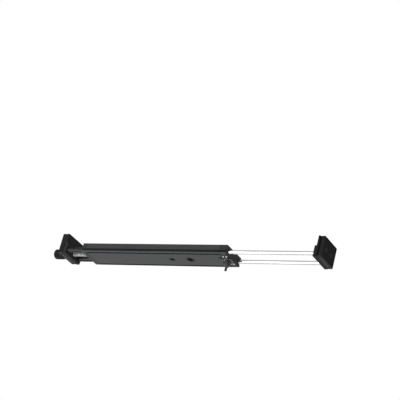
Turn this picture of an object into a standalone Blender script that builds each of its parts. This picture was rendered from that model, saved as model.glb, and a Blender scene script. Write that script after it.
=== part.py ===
"""Clamp bar that holds a tablet or slim laptop over a tripod head.

The body is a dovetail rail between a left end cap and a lock block. A jaw on
two bright rods slides out of the lock block, where a wing screw lifts a clamp
plate against the rods. A jaw on two black guides at the left end is drawn in
by a lead screw with a knurled knob.

Frame: X along the bar towards the sliding jaw, Y across it, Z up towards the
device. The origin is the middle of the rail's foot face. Metres throughout.
"""
import math

import bmesh
import bpy
from mathutils import Matrix, Vector

# Clearances
SEAT_GAP = 0.0003            # between faces that rest on each other
RUNNING_GAP = 0.0001         # radial, for what slides or turns in a bore
SCREW_GAP = 0.0002           # radial, round a screw or a pressed piece
CLAMP_GAP = 0.0002           # between the clamp plate and the rods when locked
CUT_OVER = 0.0008            # how far a cutter runs past the face it opens

# Rail
RAIL_LENGTH = 0.209          # over the left cap and the lock block
RAIL_WIDTH = 0.038
RAIL_HEIGHT = 0.0119
RAIL_CHAMFER = 0.0005
FLANGE_HEIGHT = 0.0069       # upper side face, down to the dovetail notch
NOTCH_DEPTH = 0.0019
NOTCH_RISE = 0.0006          # slope of the notch's upper face
FOOT_HEIGHT = 0.0019         # foot's side face, below the dovetail flank
FOOT_GROOVE_WIDTH = 0.0018
FOOT_GROOVE_DEPTH = 0.0014
FOOT_GROOVE_DRAFT = 0.0003   # each side leans in by this much at the groove's floor
FOOT_GROOVE_INSET = 0.0023   # from the foot's edge to the groove's middle
CHANNEL_INSET = 0.0060       # from the rail's side to a rod line
ROD_LINE_HEIGHT = 0.0048     # of the rods, guides and lead screw over the foot

# Grip strips on the rail's top
STRIP_WIDTH = 0.0054
STRIP_THICKNESS = 0.0011
STRIP_RECESS = 0.0007
STRIP_INSET = 0.0070         # from the rail's side to a strip's middle
STRIP_END_INSET = 0.004

# Left end cap and the nut behind it
LEFT_CAP_LENGTH = 0.0065
END_CORNER_RADIUS = 0.0012
CAP_SCREW_LENGTH = 0.013
NUT_BODY_RADIUS = 0.0034
NUT_FLANGE_RADIUS = 0.0040
NUT_FLANGE_LENGTH = 0.0014
NUT_LENGTH = 0.0086

# Lock block
LOCK_BLOCK_LENGTH = 0.010
TONGUE_LENGTH = 0.010
TONGUE_SIDE_WALL = 0.0010    # between the tongue and a rod channel
TONGUE_HEIGHT = 0.0032
TONGUE_SCREW_INSET = 0.0135  # from the rail's right end to the screws
TONGUE_SCREW_EDGE = 0.0020   # from the tongue's side to a screw's axis
WIPER_RADIUS = 0.0036
CLAMP_END_WALL = 0.0013       # between the clamp pocket and the block's end face
CLAMP_PLATE_OVERHANG = 0.0024  # past each rod line
CLAMP_PLATE_RECESS = 0.0002  # from the foot face up to the plate
CLAMP_SCREW_PITCH = 0.0044   # along the bar, between the plate's set screws
CLAMP_SCREW_OFFSET = 0.0028  # inside each rod line
CLAMP_SCREW_PROUD = 0.0006   # below the plate's lower face
LOCK_SCREW_TIP_HEIGHT = 0.0088

# Wing head of the lock screw
WING_HUB_RADIUS = 0.0045
WING_HUB_HEIGHT = 0.0064
WING_DROP = 0.0120           # wing tips below the rail's foot
WING_REACH = 0.0082          # from the axis to the outer edge of a wing
WING_THICKNESS = 0.0028
WING_HEADING = math.radians(128)
LOCK_WASHER_RADIUS = 0.0050
LOCK_WASHER_THICKNESS = 0.0006

# Bright rods of the right jaw
ROD_RADIUS = 0.0025
ROD_ENGAGEMENT = 0.0325      # length inside the bar at rest
ROD_STOP_RADIUS = 0.0032
ROD_STOP_LENGTH = 0.0020
ROD_SEAT_DEPTH = 0.0030      # into the jaw plate

# Black guides of the left jaw
GUIDE_RADIUS = 0.0033
GUIDE_ENGAGEMENT = 0.0335    # length inside the bar at rest
GUIDE_SEAT_DEPTH = 0.0040

# Lead screw
LEAD_SCREW_RADIUS = 0.0024
LEAD_SCREW_ENGAGEMENT = 0.0245
LEAD_SCREW_TRAVEL = 0.020
LEAD_SCREW_NECK_RADIUS = 0.0019
CLIP_RADIUS = 0.0040
CLIP_THICKNESS = 0.0007

# Knob
KNOB_RADIUS = 0.0064
KNOB_LENGTH = 0.0143
KNOB_CHAMFER = 0.0011
KNOB_FLUTE_COUNT = 22
KNOB_FLUTE_DEPTH = 0.0004
KNOB_BORE_DEPTH = 0.0105
KNOB_SET_SCREW_INSET = 0.0036
THRUST_WASHER_RADIUS = 0.0052
THRUST_WASHER_THICKNESS = 0.0008

# Jaws
JAW_SIDE_WALL = 0.0012       # beyond the guides
JAW_TOP = 0.026
JAW_DROP = 0.0060            # from the rod line down to the jaws' lower face
JAW_CORNER_RADIUS = 0.0015
JAW_CHAMFER = 0.0006
RIGHT_PLATE_THICKNESS = 0.0058
LEFT_PLATE_THICKNESS = 0.0065
RIGHT_JAW_EXPOSURE = 0.1160  # from the bar's right end to the pad's ledge
LEFT_JAW_EXPOSURE = 0.0263   # from the bar's left end to the pad's ledge
PAD_THICKNESS = 0.0026
PAD_LEDGE = 0.0010           # lower part that stands further in
PAD_LEDGE_HEIGHT = 0.0119    # top of the ledge over the foot face
PAD_RIB_COUNT = 5
PAD_RIB_DEPTH = 0.0004
PAD_RIB_WIDTH = 0.0008
PAD_SCREW_OFFSET = 0.0055    # inside each rod line
PAD_SCREW_HEIGHT = 0.0116

# Fasteners
SCREW_RADIUS = 0.0014
SCREW_HEAD_RADIUS = 0.0025
SCREW_HEAD_LENGTH = 0.0020
PAD_SCREW_GRIP = 0.0014      # into the pad's backing
SOCKET_ACROSS_FLATS = 0.0020
SOCKET_DEPTH = 0.0010
GRUB_RADIUS = 0.0012
LOCK_SCREW_RADIUS = 0.0020

# Threaded bushes for a tripod screw
SMALL_BUSH_RADIUS = 0.0047
SMALL_BUSH_BORE = 0.0027
LARGE_BUSH_RADIUS = 0.0062
LARGE_BUSH_BORE = 0.0041
BUSH_LENGTH = 0.0080
BUSH_MIDDLE = 0.033          # along the bar, where the loaded clamp balances
BUSH_SPACING = 0.026

# Facets
ROUND_STEPS = 24
SMALL_STEPS = 12
CORNER_STEPS = 4

# Places worked out from the sizes above
BAR_RIGHT = RAIL_LENGTH / 2
BAR_LEFT = -RAIL_LENGTH / 2
RAIL_RIGHT = BAR_RIGHT - LOCK_BLOCK_LENGTH
RAIL_LEFT = BAR_LEFT + LEFT_CAP_LENGTH
ROD_INNER_REST = BAR_RIGHT - ROD_ENGAGEMENT
CHANNEL_SPACING = RAIL_WIDTH - 2 * CHANNEL_INSET
CHANNEL_RADIUS = GUIDE_RADIUS + RUNNING_GAP
CAP_SCREW_SPACING = CHANNEL_SPACING / 2
STRIP_SPACING = RAIL_WIDTH - 2 * STRIP_INSET
TONGUE_WIDTH = CHANNEL_SPACING - 2 * (CHANNEL_RADIUS + TONGUE_SIDE_WALL)
TONGUE_SCREW_SPACING = TONGUE_WIDTH - 2 * TONGUE_SCREW_EDGE
CLAMP_PLATE_WIDTH = CHANNEL_SPACING + 2 * CLAMP_PLATE_OVERHANG
CLAMP_SCREW_SPACING = CHANNEL_SPACING - 2 * CLAMP_SCREW_OFFSET
PAD_SCREW_SPACING = CHANNEL_SPACING - 2 * PAD_SCREW_OFFSET
ROD_BORE_RADIUS = ROD_RADIUS + RUNNING_GAP
TONGUE_SCREW_X = BAR_RIGHT - TONGUE_SCREW_INSET
CLAMP_PLATE_TOP = ROD_LINE_HEIGHT - ROD_RADIUS - CLAMP_GAP
CLAMP_PLATE_BOTTOM = CLAMP_PLATE_RECESS
CLAMP_PLATE_THICKNESS = CLAMP_PLATE_TOP - CLAMP_PLATE_BOTTOM
CLAMP_POCKET_TOP = ROD_LINE_HEIGHT - ROD_RADIUS + 2 * SEAT_GAP
CLAMP_PLATE_LEFT = RAIL_RIGHT + 2 * SEAT_GAP
CLAMP_POCKET_RIGHT = BAR_RIGHT - CLAMP_END_WALL
CLAMP_PLATE_RIGHT = CLAMP_POCKET_RIGHT - SEAT_GAP
WIPER_LENGTH = CLAMP_END_WALL - 2 * SEAT_GAP
LOCK_AXIS = (CLAMP_PLATE_LEFT + CLAMP_PLATE_RIGHT) / 2
CLAMP_SCREWS = {"plate_set_screw_": LOCK_AXIS - CLAMP_SCREW_PITCH / 2,
                "plate_end_screw_": LOCK_AXIS + CLAMP_SCREW_PITCH / 2}
LOCK_WASHER_TOP = CLAMP_PLATE_BOTTOM - SEAT_GAP
WING_HUB_TOP = LOCK_WASHER_TOP - LOCK_WASHER_THICKNESS - SEAT_GAP
JAW_WIDTH = CHANNEL_SPACING + 2 * (GUIDE_RADIUS + JAW_SIDE_WALL)
JAW_BOTTOM = ROD_LINE_HEIGHT - JAW_DROP
JAW_MIDDLE = (JAW_TOP + JAW_BOTTOM) / 2
JAW_HEIGHT = JAW_TOP - JAW_BOTTOM
RIGHT_LEDGE_X = BAR_RIGHT + RIGHT_JAW_EXPOSURE
RIGHT_PLATE_X = RIGHT_LEDGE_X + PAD_LEDGE + PAD_THICKNESS + SEAT_GAP
LEFT_LEDGE_X = BAR_LEFT - LEFT_JAW_EXPOSURE
LEFT_PLATE_X = LEFT_LEDGE_X - PAD_LEDGE - PAD_THICKNESS - SEAT_GAP
LEFT_OUTER_X = LEFT_PLATE_X - LEFT_PLATE_THICKNESS
KNOB_INNER_X = LEFT_OUTER_X - THRUST_WASHER_THICKNESS - 2 * SEAT_GAP
KNOB_OUTER_X = KNOB_INNER_X - KNOB_LENGTH
LEAD_SCREW_END_X = KNOB_INNER_X - KNOB_BORE_DEPTH + SEAT_GAP
SIDES = {"near": -1, "far": 1}

# Local Z along world X, for turned pieces on the rod lines
ALONG_X = (0, math.pi / 2, 0)
# Local X and Y along world Y and Z, for outlines across the bar
ACROSS_BAR = (math.pi / 2, 0, math.pi / 2)
# Local X and Y along world X and Z, for outlines seen from the side
ALONG_BAR = (math.pi / 2, 0, 0)


# Scene

def clear_scene():
    """Remove every object that the file starts with."""
    for obj in list(bpy.data.objects):
        bpy.data.objects.remove(obj, do_unlink=True)


def new_collection(name):
    """Make a collection in the scene."""
    collection = bpy.data.collections.new(name)
    bpy.context.scene.collection.children.link(collection)
    return collection


def new_material(name, colour, roughness, metallic=0.0):
    """Make a Principled material from a colour, a roughness and a metallic value."""
    material = bpy.data.materials.new(name)
    material.use_nodes = True
    shader = material.node_tree.nodes["Principled BSDF"]
    shader.inputs["Base Color"].default_value = (*colour, 1.0)
    shader.inputs["Roughness"].default_value = roughness
    shader.inputs["Metallic"].default_value = metallic
    return material


def smooth_by_angle(name, angle):
    """Make a node group that shades smooth, with an edge kept sharp above an angle."""
    group = bpy.data.node_groups.new(name, "GeometryNodeTree")
    group.interface.new_socket("Geometry", in_out="INPUT", socket_type="NodeSocketGeometry")
    group.interface.new_socket("Geometry", in_out="OUTPUT", socket_type="NodeSocketGeometry")
    group_in = group.nodes.new("NodeGroupInput")
    group_out = group.nodes.new("NodeGroupOutput")
    faces = group.nodes.new("GeometryNodeSetShadeSmooth")
    faces.domain = "FACE"
    edges = group.nodes.new("GeometryNodeSetShadeSmooth")
    edges.domain = "EDGE"
    edge_angle = group.nodes.new("GeometryNodeInputMeshEdgeAngle")
    compare = group.nodes.new("FunctionNodeCompare")
    compare.operation = "LESS_EQUAL"
    compare.inputs["B"].default_value = angle
    group.links.new(group_in.outputs["Geometry"], faces.inputs["Geometry"])
    group.links.new(faces.outputs["Geometry"], edges.inputs["Geometry"])
    group.links.new(edge_angle.outputs["Unsigned Angle"], compare.inputs["A"])
    group.links.new(compare.outputs["Result"], edges.inputs["Shade Smooth"])
    group.links.new(edges.outputs["Geometry"], group_out.inputs["Geometry"])
    return group


clear_scene()
PARTS = new_collection("tripod_clamp_bar")
CUTTERS = new_collection("cutters")
SHADING = smooth_by_angle("smooth_by_angle", math.radians(30))
ANODISED = new_material("anodised_charcoal", (0.060, 0.061, 0.064), 0.42, 0.5)
BLACK_METAL = new_material("black_anodised", (0.022, 0.022, 0.024), 0.45, 0.3)
CHROME = new_material("bright_steel", (0.78, 0.78, 0.79), 0.12, 1.0)
STAINLESS = new_material("stainless_screws", (0.60, 0.60, 0.61), 0.28, 1.0)
BLACK_STEEL = new_material("blackened_steel", (0.030, 0.030, 0.031), 0.38, 0.8)
RUBBER = new_material("black_rubber", (0.020, 0.020, 0.020), 0.80)
BRASS = new_material("brass", (0.62, 0.45, 0.17), 0.30, 1.0)
POLYMER = new_material("black_polymer", (0.024, 0.024, 0.025), 0.50)


# Building blocks

def place(obj, location, rotation=(0, 0, 0)):
    """Set an object's place and turn."""
    obj.location = location
    obj.rotation_euler = rotation
    return obj


def add_mesh(name, mesh, location, rotation=(0, 0, 0)):
    """Put a mesh in the cutters' collection until finish() or cut() claims it."""
    obj = bpy.data.objects.new(name, mesh)
    CUTTERS.objects.link(obj)
    return place(obj, location, rotation)


def box(name, low, high):
    """A box between two corners, with its origin in its middle."""
    low, high = Vector(low), Vector(high)
    mesh = bpy.data.meshes.new(name)
    bm = bmesh.new()
    bmesh.ops.create_cube(bm, size=1.0, matrix=Matrix.Diagonal((*(high - low), 1.0)))
    bm.to_mesh(mesh)
    bm.free()
    return add_mesh(name, mesh, (low + high) / 2)


def cylinder(name, radius, length, location, rotation=(0, 0, 0), steps=ROUND_STEPS, tip_radius=None):
    """A cylinder or cone that runs from its location along its local Z."""
    mesh = bpy.data.meshes.new(name)
    bm = bmesh.new()
    bmesh.ops.create_cone(
        bm, cap_ends=True, segments=steps, radius1=radius,
        radius2=radius if tip_radius is None else tip_radius,
        depth=length, matrix=Matrix.Translation((0, 0, length / 2)))
    bm.to_mesh(mesh)
    bm.free()
    return add_mesh(name, mesh, location, rotation)


def turned(name, profile, location, rotation=(0, 0, 0), steps=ROUND_STEPS, ring=False):
    """Turn a profile of (radius, height) points, listed from the top down, about local Z."""
    mesh = bpy.data.meshes.new(name)
    bm = bmesh.new()
    verts = [bm.verts.new((radius, 0, height)) for radius, height in profile]
    for first, second in zip(verts, verts[1:]):
        bm.edges.new((first, second))
    if ring:
        bm.edges.new((verts[-1], verts[0]))
    bm.to_mesh(mesh)
    bm.free()
    obj = add_mesh(name, mesh, location, rotation)
    screw = obj.modifiers.new("turn", "SCREW")
    screw.steps = steps
    screw.render_steps = steps
    screw.use_merge_vertices = True
    screw.merge_threshold = 0.00001
    return obj


def ring(name, outer, inner, length, location, rotation=(0, 0, 0), steps=ROUND_STEPS):
    """A plain ring or bush that runs from its location along its local Z."""
    profile = [(inner, length), (outer, length), (outer, 0), (inner, 0)]
    return turned(name, profile, location, rotation, steps, ring=True)


def outlined(name, points, thickness, location, rotation=(0, 0, 0)):
    """A flat outline, extruded by its thickness about its own plane."""
    curve = bpy.data.curves.new(name, "CURVE")
    curve.dimensions = "2D"
    curve.fill_mode = "BOTH"
    curve.extrude = thickness / 2
    spline = curve.splines.new("POLY")
    spline.points.add(len(points) - 1)
    for point, (x, y) in zip(spline.points, points):
        point.co = (x, y, 0, 1)
    spline.use_cyclic_u = True
    flat = bpy.data.objects.new(name + "_outline", curve)
    CUTTERS.objects.link(flat)
    depsgraph = bpy.context.evaluated_depsgraph_get()
    mesh = bpy.data.meshes.new_from_object(flat.evaluated_get(depsgraph))
    bpy.data.objects.remove(flat, do_unlink=True)
    bm = bmesh.new()
    bm.from_mesh(mesh)
    bmesh.ops.remove_doubles(bm, verts=bm.verts, dist=0.000001)
    bmesh.ops.recalc_face_normals(bm, faces=bm.faces)
    bm.to_mesh(mesh)
    bm.free()
    return add_mesh(name, mesh, location, rotation)


def extruded(name, points, length, location, rotation=(0, 0, 0)):
    """A bar of one section with plain flat ends, about the middle of its length."""
    mesh = bpy.data.meshes.new(name)
    bm = bmesh.new()
    flat = bm.faces.new([bm.verts.new((x, y, -length / 2)) for x, y in points])
    raised = bmesh.ops.extrude_face_region(bm, geom=[flat])["geom"]
    bmesh.ops.translate(bm, verts=[v for v in raised if isinstance(v, bmesh.types.BMVert)],
                        vec=(0, 0, length))
    bmesh.ops.remove_doubles(bm, verts=bm.verts, dist=0.000001)
    bmesh.ops.recalc_face_normals(bm, faces=bm.faces)
    bm.to_mesh(mesh)
    bm.free()
    return add_mesh(name, mesh, location, rotation)


def arc(centre, radius, start, end, steps):
    """Points of an arc, from one angle in degrees to another."""
    turns = [math.radians(start + (end - start) * i / steps) for i in range(steps + 1)]
    return [(centre[0] + radius * math.cos(a), centre[1] + radius * math.sin(a)) for a in turns]


def rounded_rectangle(low, high, radius):
    """Outline of a rectangle with round corners."""
    corners = [((high[0], high[1]), 0), ((low[0], high[1]), 90),
               ((low[0], low[1]), 180), ((high[0], low[1]), 270)]
    points = []
    for (x, y), start in corners:
        centre = (x - math.copysign(radius, x - low[0] - (high[0] - low[0]) / 2),
                  y - math.copysign(radius, y - low[1] - (high[1] - low[1]) / 2))
        points += arc(centre, radius, start, start + 90, CORNER_STEPS)
    return points


def bevel(obj, width, segments=1, angle=40):
    """Break the edges that are sharper than an angle."""
    modifier = obj.modifiers.new("bevel", "BEVEL")
    modifier.width = width
    modifier.segments = segments
    modifier.limit_method = "ANGLE"
    modifier.angle_limit = math.radians(angle)
    return obj


def boolean(obj, tool, operation):
    """Join or cut an object with a tool, which stays hidden."""
    modifier = obj.modifiers.new(tool.name, "BOOLEAN")
    modifier.operation = operation
    modifier.object = tool
    modifier.solver = "EXACT"
    tool.hide_render = True
    tool.display_type = "WIRE"
    return obj


def cut(obj, *tools):
    """Cut an object with each tool."""
    for tool in tools:
        boolean(obj, tool, "DIFFERENCE")
    return obj


def finish(obj, material, joint=None):
    """Move a piece to the parts, give it its material and hang it on its joint's empty."""
    CUTTERS.objects.unlink(obj)
    PARTS.objects.link(obj)
    obj.data.materials.clear()
    obj.data.materials.append(material)
    obj.modifiers.new("shading", "NODES").node_group = SHADING
    if joint is not None:
        obj.parent = joint
        obj.matrix_parent_inverse = Matrix.Translation(joint.location).inverted()
    return obj


def joint_empty(name, location):
    """An empty on a joint's axis."""
    empty = bpy.data.objects.new(name, None)
    empty.location = location
    empty.empty_display_size = 0.01
    PARTS.objects.link(empty)
    return empty


def socket(name, location, rotation, depth=SOCKET_DEPTH):
    """Cutter for a hexagon socket that opens at its location along its local -Z."""
    radius = SOCKET_ACROSS_FLATS / 2 / math.cos(math.pi / 6)
    return cylinder(name, radius, depth + CUT_OVER, step_back(location, rotation), rotation, steps=6)


def step_back(location, rotation):
    """A point just outside a face, for a cutter that enters it along its local Z."""
    return Matrix.Translation(location) @ euler_matrix(rotation) @ Vector((0, 0, -CUT_OVER))


def euler_matrix(rotation):
    """The 4x4 matrix of an XYZ turn."""
    turn = Matrix.Identity(4)
    for angle, axis in zip(rotation, "XYZ"):
        turn = Matrix.Rotation(angle, 4, axis) @ turn
    return turn


def cap_screw(name, location, rotation, shank, material, joint=None):
    """A socket head screw: its head's outer face is at its location, its shank along local Z."""
    profile = [(0, SCREW_HEAD_LENGTH + shank), (SCREW_RADIUS, SCREW_HEAD_LENGTH + shank),
               (SCREW_RADIUS, SCREW_HEAD_LENGTH), (SCREW_HEAD_RADIUS, SCREW_HEAD_LENGTH),
               (SCREW_HEAD_RADIUS, RAIL_CHAMFER / 2), (SCREW_HEAD_RADIUS - RAIL_CHAMFER / 2, 0),
               (0, 0)]
    screw = turned(name, profile, location, rotation, SMALL_STEPS)
    cut(screw, socket(name + "_socket", location, rotation))
    return finish(screw, material, joint)


def screw_hole(name, location, rotation, shank):
    """Cutter for a cap screw: a counterbore for its head and a hole for its shank."""
    head = SCREW_HEAD_LENGTH + SEAT_GAP
    profile = [(0, head + shank), (SCREW_RADIUS + SCREW_GAP, head + shank),
               (SCREW_RADIUS + SCREW_GAP, head), (SCREW_HEAD_RADIUS + SCREW_GAP, head),
               (SCREW_HEAD_RADIUS + SCREW_GAP, -CUT_OVER), (0, -CUT_OVER)]
    return turned(name, profile, location, rotation, SMALL_STEPS)


def grub_screw(name, location, rotation, length, material, joint=None):
    """A headless set screw with a cone point, along its local Z."""
    point = GRUB_RADIUS / 2
    profile = [(0, length), (GRUB_RADIUS - point, length), (GRUB_RADIUS, length - point),
               (GRUB_RADIUS, 0), (0, 0)]
    screw = turned(name, profile, location, rotation, SMALL_STEPS)
    cut(screw, socket(name + "_socket", location, rotation, SOCKET_DEPTH * 0.7))
    return finish(screw, material, joint)


def grub_hole(name, location, rotation, length):
    """Cutter for a grub screw's hole."""
    return cylinder(name, GRUB_RADIUS + SCREW_GAP, length + CUT_OVER,
                    step_back(location, rotation), rotation, SMALL_STEPS)


# Joint empties

RIGHT_JAW = joint_empty("right_jaw_slide", (RIGHT_PLATE_X, 0, ROD_LINE_HEIGHT))
LEFT_JAW = joint_empty("left_jaw_slide", (LEFT_PLATE_X, 0, ROD_LINE_HEIGHT))
LEAD_SCREW = joint_empty("lead_screw_turn", (LEFT_OUTER_X, 0, ROD_LINE_HEIGHT))
CLAMP_PLATE = joint_empty("clamp_plate_slide", (LOCK_AXIS, 0, CLAMP_PLATE_BOTTOM))
LOCK_SCREW = joint_empty("lock_screw_turn", (LOCK_AXIS, 0, WING_HUB_TOP))


# Rail

def rail_section():
    """Outline of the extruded rail, with its dovetail notches, foot grooves and strip recesses."""
    half = RAIL_WIDTH / 2
    notch_top = RAIL_HEIGHT - FLANGE_HEIGHT
    neck = half - NOTCH_DEPTH
    groove = half - FOOT_GROOVE_INSET
    floor = FOOT_GROOVE_WIDTH / 2 - FOOT_GROOVE_DRAFT
    strip_out = (STRIP_SPACING + STRIP_WIDTH) / 2 + SCREW_GAP
    strip_in = (STRIP_SPACING - STRIP_WIDTH) / 2 - SCREW_GAP
    recess = RAIL_HEIGHT - STRIP_RECESS
    right = [
        (groove - FOOT_GROOVE_WIDTH / 2, 0), (groove - floor, FOOT_GROOVE_DEPTH),
        (groove + floor, FOOT_GROOVE_DEPTH), (groove + FOOT_GROOVE_WIDTH / 2, 0),
        (half - RAIL_CHAMFER, 0), (half, RAIL_CHAMFER),
        (half, FOOT_HEIGHT), (neck, FOOT_HEIGHT + NOTCH_DEPTH), (neck, notch_top - NOTCH_RISE),
        (half, notch_top), (half, RAIL_HEIGHT - RAIL_CHAMFER), (half - RAIL_CHAMFER, RAIL_HEIGHT),
        (strip_out, RAIL_HEIGHT), (strip_out, recess), (strip_in, recess), (strip_in, RAIL_HEIGHT)]
    return right + [(-y, z) for y, z in reversed(right)]


def tongue_box(name, margin, start, end):
    """The lock block's tongue, or with a margin its pocket in the rail."""
    half = TONGUE_WIDTH / 2 + margin
    low = ROD_LINE_HEIGHT - TONGUE_HEIGHT / 2 - margin
    high = ROD_LINE_HEIGHT + TONGUE_HEIGHT / 2 + margin
    return box(name, (start, -half, low), (end, half, high))


def make_rail():
    """The extruded rail with its rod channels, nut bore, tongue pocket and bush bores."""
    length = RAIL_RIGHT - RAIL_LEFT
    rail = extruded("rail", rail_section(), length, ((RAIL_LEFT + RAIL_RIGHT) / 2, 0, 0), ACROSS_BAR)
    cut(rail, tongue_box("tongue_pocket", SEAT_GAP, RAIL_RIGHT - TONGUE_LENGTH - SEAT_GAP,
                         RAIL_RIGHT + SEAT_GAP))
    for side, sign in SIDES.items():
        line = sign * CHANNEL_SPACING / 2
        cut(rail, cylinder("channel_" + side, CHANNEL_RADIUS, length + 2 * SEAT_GAP,
                           (RAIL_LEFT - SEAT_GAP, line, ROD_LINE_HEIGHT), ALONG_X))
        cut(rail, cylinder("cap_screw_bore_" + side, SCREW_RADIUS + SCREW_GAP,
                           CAP_SCREW_LENGTH - LEFT_CAP_LENGTH + 2 * SEAT_GAP,
                           (RAIL_LEFT - SEAT_GAP, sign * CAP_SCREW_SPACING / 2, ROD_LINE_HEIGHT),
                           ALONG_X, SMALL_STEPS))
    depth = LEAD_SCREW_ENGAGEMENT - LEFT_CAP_LENGTH + LEAD_SCREW_TRAVEL + 2 * SEAT_GAP
    profile = [(0, depth), (LEAD_SCREW_RADIUS + 2 * SCREW_GAP, depth),
               (LEAD_SCREW_RADIUS + 2 * SCREW_GAP, NUT_LENGTH + 2 * SEAT_GAP),
               (NUT_BODY_RADIUS + SCREW_GAP, NUT_LENGTH + 2 * SEAT_GAP),
               (NUT_BODY_RADIUS + SCREW_GAP, NUT_FLANGE_LENGTH + 2 * SEAT_GAP),
               (NUT_FLANGE_RADIUS + SCREW_GAP, NUT_FLANGE_LENGTH + 2 * SEAT_GAP),
               (NUT_FLANGE_RADIUS + SCREW_GAP, -SEAT_GAP), (0, -SEAT_GAP)]
    cut(rail, turned("nut_bore", profile, (RAIL_LEFT, 0, ROD_LINE_HEIGHT), ALONG_X))
    for sign, radius in ((-1, SMALL_BUSH_RADIUS), (1, LARGE_BUSH_RADIUS)):
        cut(rail, cylinder("bush_bore_%s" % ("left" if sign < 0 else "right"), radius + SCREW_GAP,
                           BUSH_LENGTH + SEAT_GAP + CUT_OVER, (bush_x(sign), 0, -CUT_OVER)))
    for side, sign in SIDES.items():
        cut(rail, screw_hole("tongue_screw_hole_" + side, tongue_screw_place(sign), (0, 0, 0),
                             ROD_LINE_HEIGHT - SCREW_HEAD_LENGTH - 2 * SEAT_GAP))
    return finish(rail, ANODISED)


def bush_x(sign):
    """Where a tripod thread's bush sits along the bar."""
    return BUSH_MIDDLE + sign * BUSH_SPACING / 2


def make_bushes():
    """Steel bushes under the rail, with the bores of the small and large tripod threads."""
    for name, sign, outer, inner in (("small_thread_bush", -1, SMALL_BUSH_RADIUS, SMALL_BUSH_BORE),
                                     ("large_thread_bush", 1, LARGE_BUSH_RADIUS, LARGE_BUSH_BORE)):
        lead_in = RAIL_CHAMFER
        profile = [(inner, BUSH_LENGTH), (outer, BUSH_LENGTH), (outer, 0), (inner + lead_in, 0),
                   (inner, lead_in)]
        finish(turned(name, profile, (bush_x(sign), 0, 0), ring=True), BLACK_STEEL)


def make_strips():
    """Two rubber strips in the rail's top recesses."""
    length = RAIL_RIGHT - RAIL_LEFT - 2 * STRIP_END_INSET
    middle = (RAIL_LEFT + RAIL_RIGHT) / 2
    bottom = RAIL_HEIGHT - STRIP_RECESS + RUNNING_GAP
    for side, sign in SIDES.items():
        outline = rounded_rectangle((-length / 2, -STRIP_WIDTH / 2), (length / 2, STRIP_WIDTH / 2),
                                    STRIP_WIDTH / 3)
        strip = outlined("top_strip_" + side, outline, STRIP_THICKNESS,
                         (middle, sign * STRIP_SPACING / 2, bottom + STRIP_THICKNESS / 2))
        finish(strip, RUBBER)


# Left end cap

def end_section():
    """Outline of the cap and the lock block: the rail's full section with round corners."""
    return rounded_rectangle((-RAIL_WIDTH / 2, 0), (RAIL_WIDTH / 2, RAIL_HEIGHT), END_CORNER_RADIUS)


def make_left_cap():
    """The left end cap, its two screws and the lead screw's nut behind it."""
    length = LEFT_CAP_LENGTH - SEAT_GAP
    cap = outlined("left_end_cap", end_section(), length, (BAR_LEFT + length / 2, 0, 0), ACROSS_BAR)
    bevel(cap, RAIL_CHAMFER)
    through = length + 2 * SEAT_GAP
    cut(cap, cylinder("cap_lead_screw_hole", LEAD_SCREW_RADIUS + SCREW_GAP, through,
                      (BAR_LEFT - SEAT_GAP, 0, ROD_LINE_HEIGHT), ALONG_X))
    for side, sign in SIDES.items():
        cut(cap, cylinder("cap_guide_hole_" + side, CHANNEL_RADIUS, through,
                          (BAR_LEFT - SEAT_GAP, sign * CHANNEL_SPACING / 2, ROD_LINE_HEIGHT),
                          ALONG_X))
        start = (BAR_LEFT, sign * CAP_SCREW_SPACING / 2, ROD_LINE_HEIGHT)
        cut(cap, screw_hole("cap_screw_hole_" + side, start, ALONG_X, LEFT_CAP_LENGTH))
        cap_screw("left_cap_screw_" + side, start, ALONG_X, CAP_SCREW_LENGTH - SCREW_HEAD_LENGTH,
                  BLACK_STEEL)
    finish(cap, ANODISED)
    bore = LEAD_SCREW_RADIUS + RUNNING_GAP
    profile = [(bore, NUT_LENGTH), (NUT_BODY_RADIUS, NUT_LENGTH), (NUT_BODY_RADIUS, NUT_FLANGE_LENGTH),
               (NUT_FLANGE_RADIUS, NUT_FLANGE_LENGTH), (NUT_FLANGE_RADIUS, 0), (bore, 0)]
    nut = turned("lead_nut", profile, (RAIL_LEFT + SEAT_GAP, 0, ROD_LINE_HEIGHT), ALONG_X, ring=True)
    finish(nut, BRASS)


# Lock block and its clamp

def tongue_screw_place(sign):
    """Where a tongue screw's head meets the foot face."""
    return (TONGUE_SCREW_X, sign * TONGUE_SCREW_SPACING / 2, SEAT_GAP)


def tongue_screw_shank():
    """Length of a tongue screw below its head, ending inside the tongue."""
    return ROD_LINE_HEIGHT + TONGUE_HEIGHT / 2 - 2 * SEAT_GAP - SCREW_HEAD_LENGTH


def clamp_screw_place(x, sign):
    """Where a clamp plate's set screw has its outer face, a little below the plate."""
    return (x, sign * CLAMP_SCREW_SPACING / 2, CLAMP_PLATE_BOTTOM - CLAMP_SCREW_PROUD)


def clamp_screw_length():
    """Length of a set screw that ends a seat gap below the rods."""
    return ROD_LINE_HEIGHT - ROD_RADIUS - SEAT_GAP - CLAMP_PLATE_BOTTOM + CLAMP_SCREW_PROUD


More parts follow.
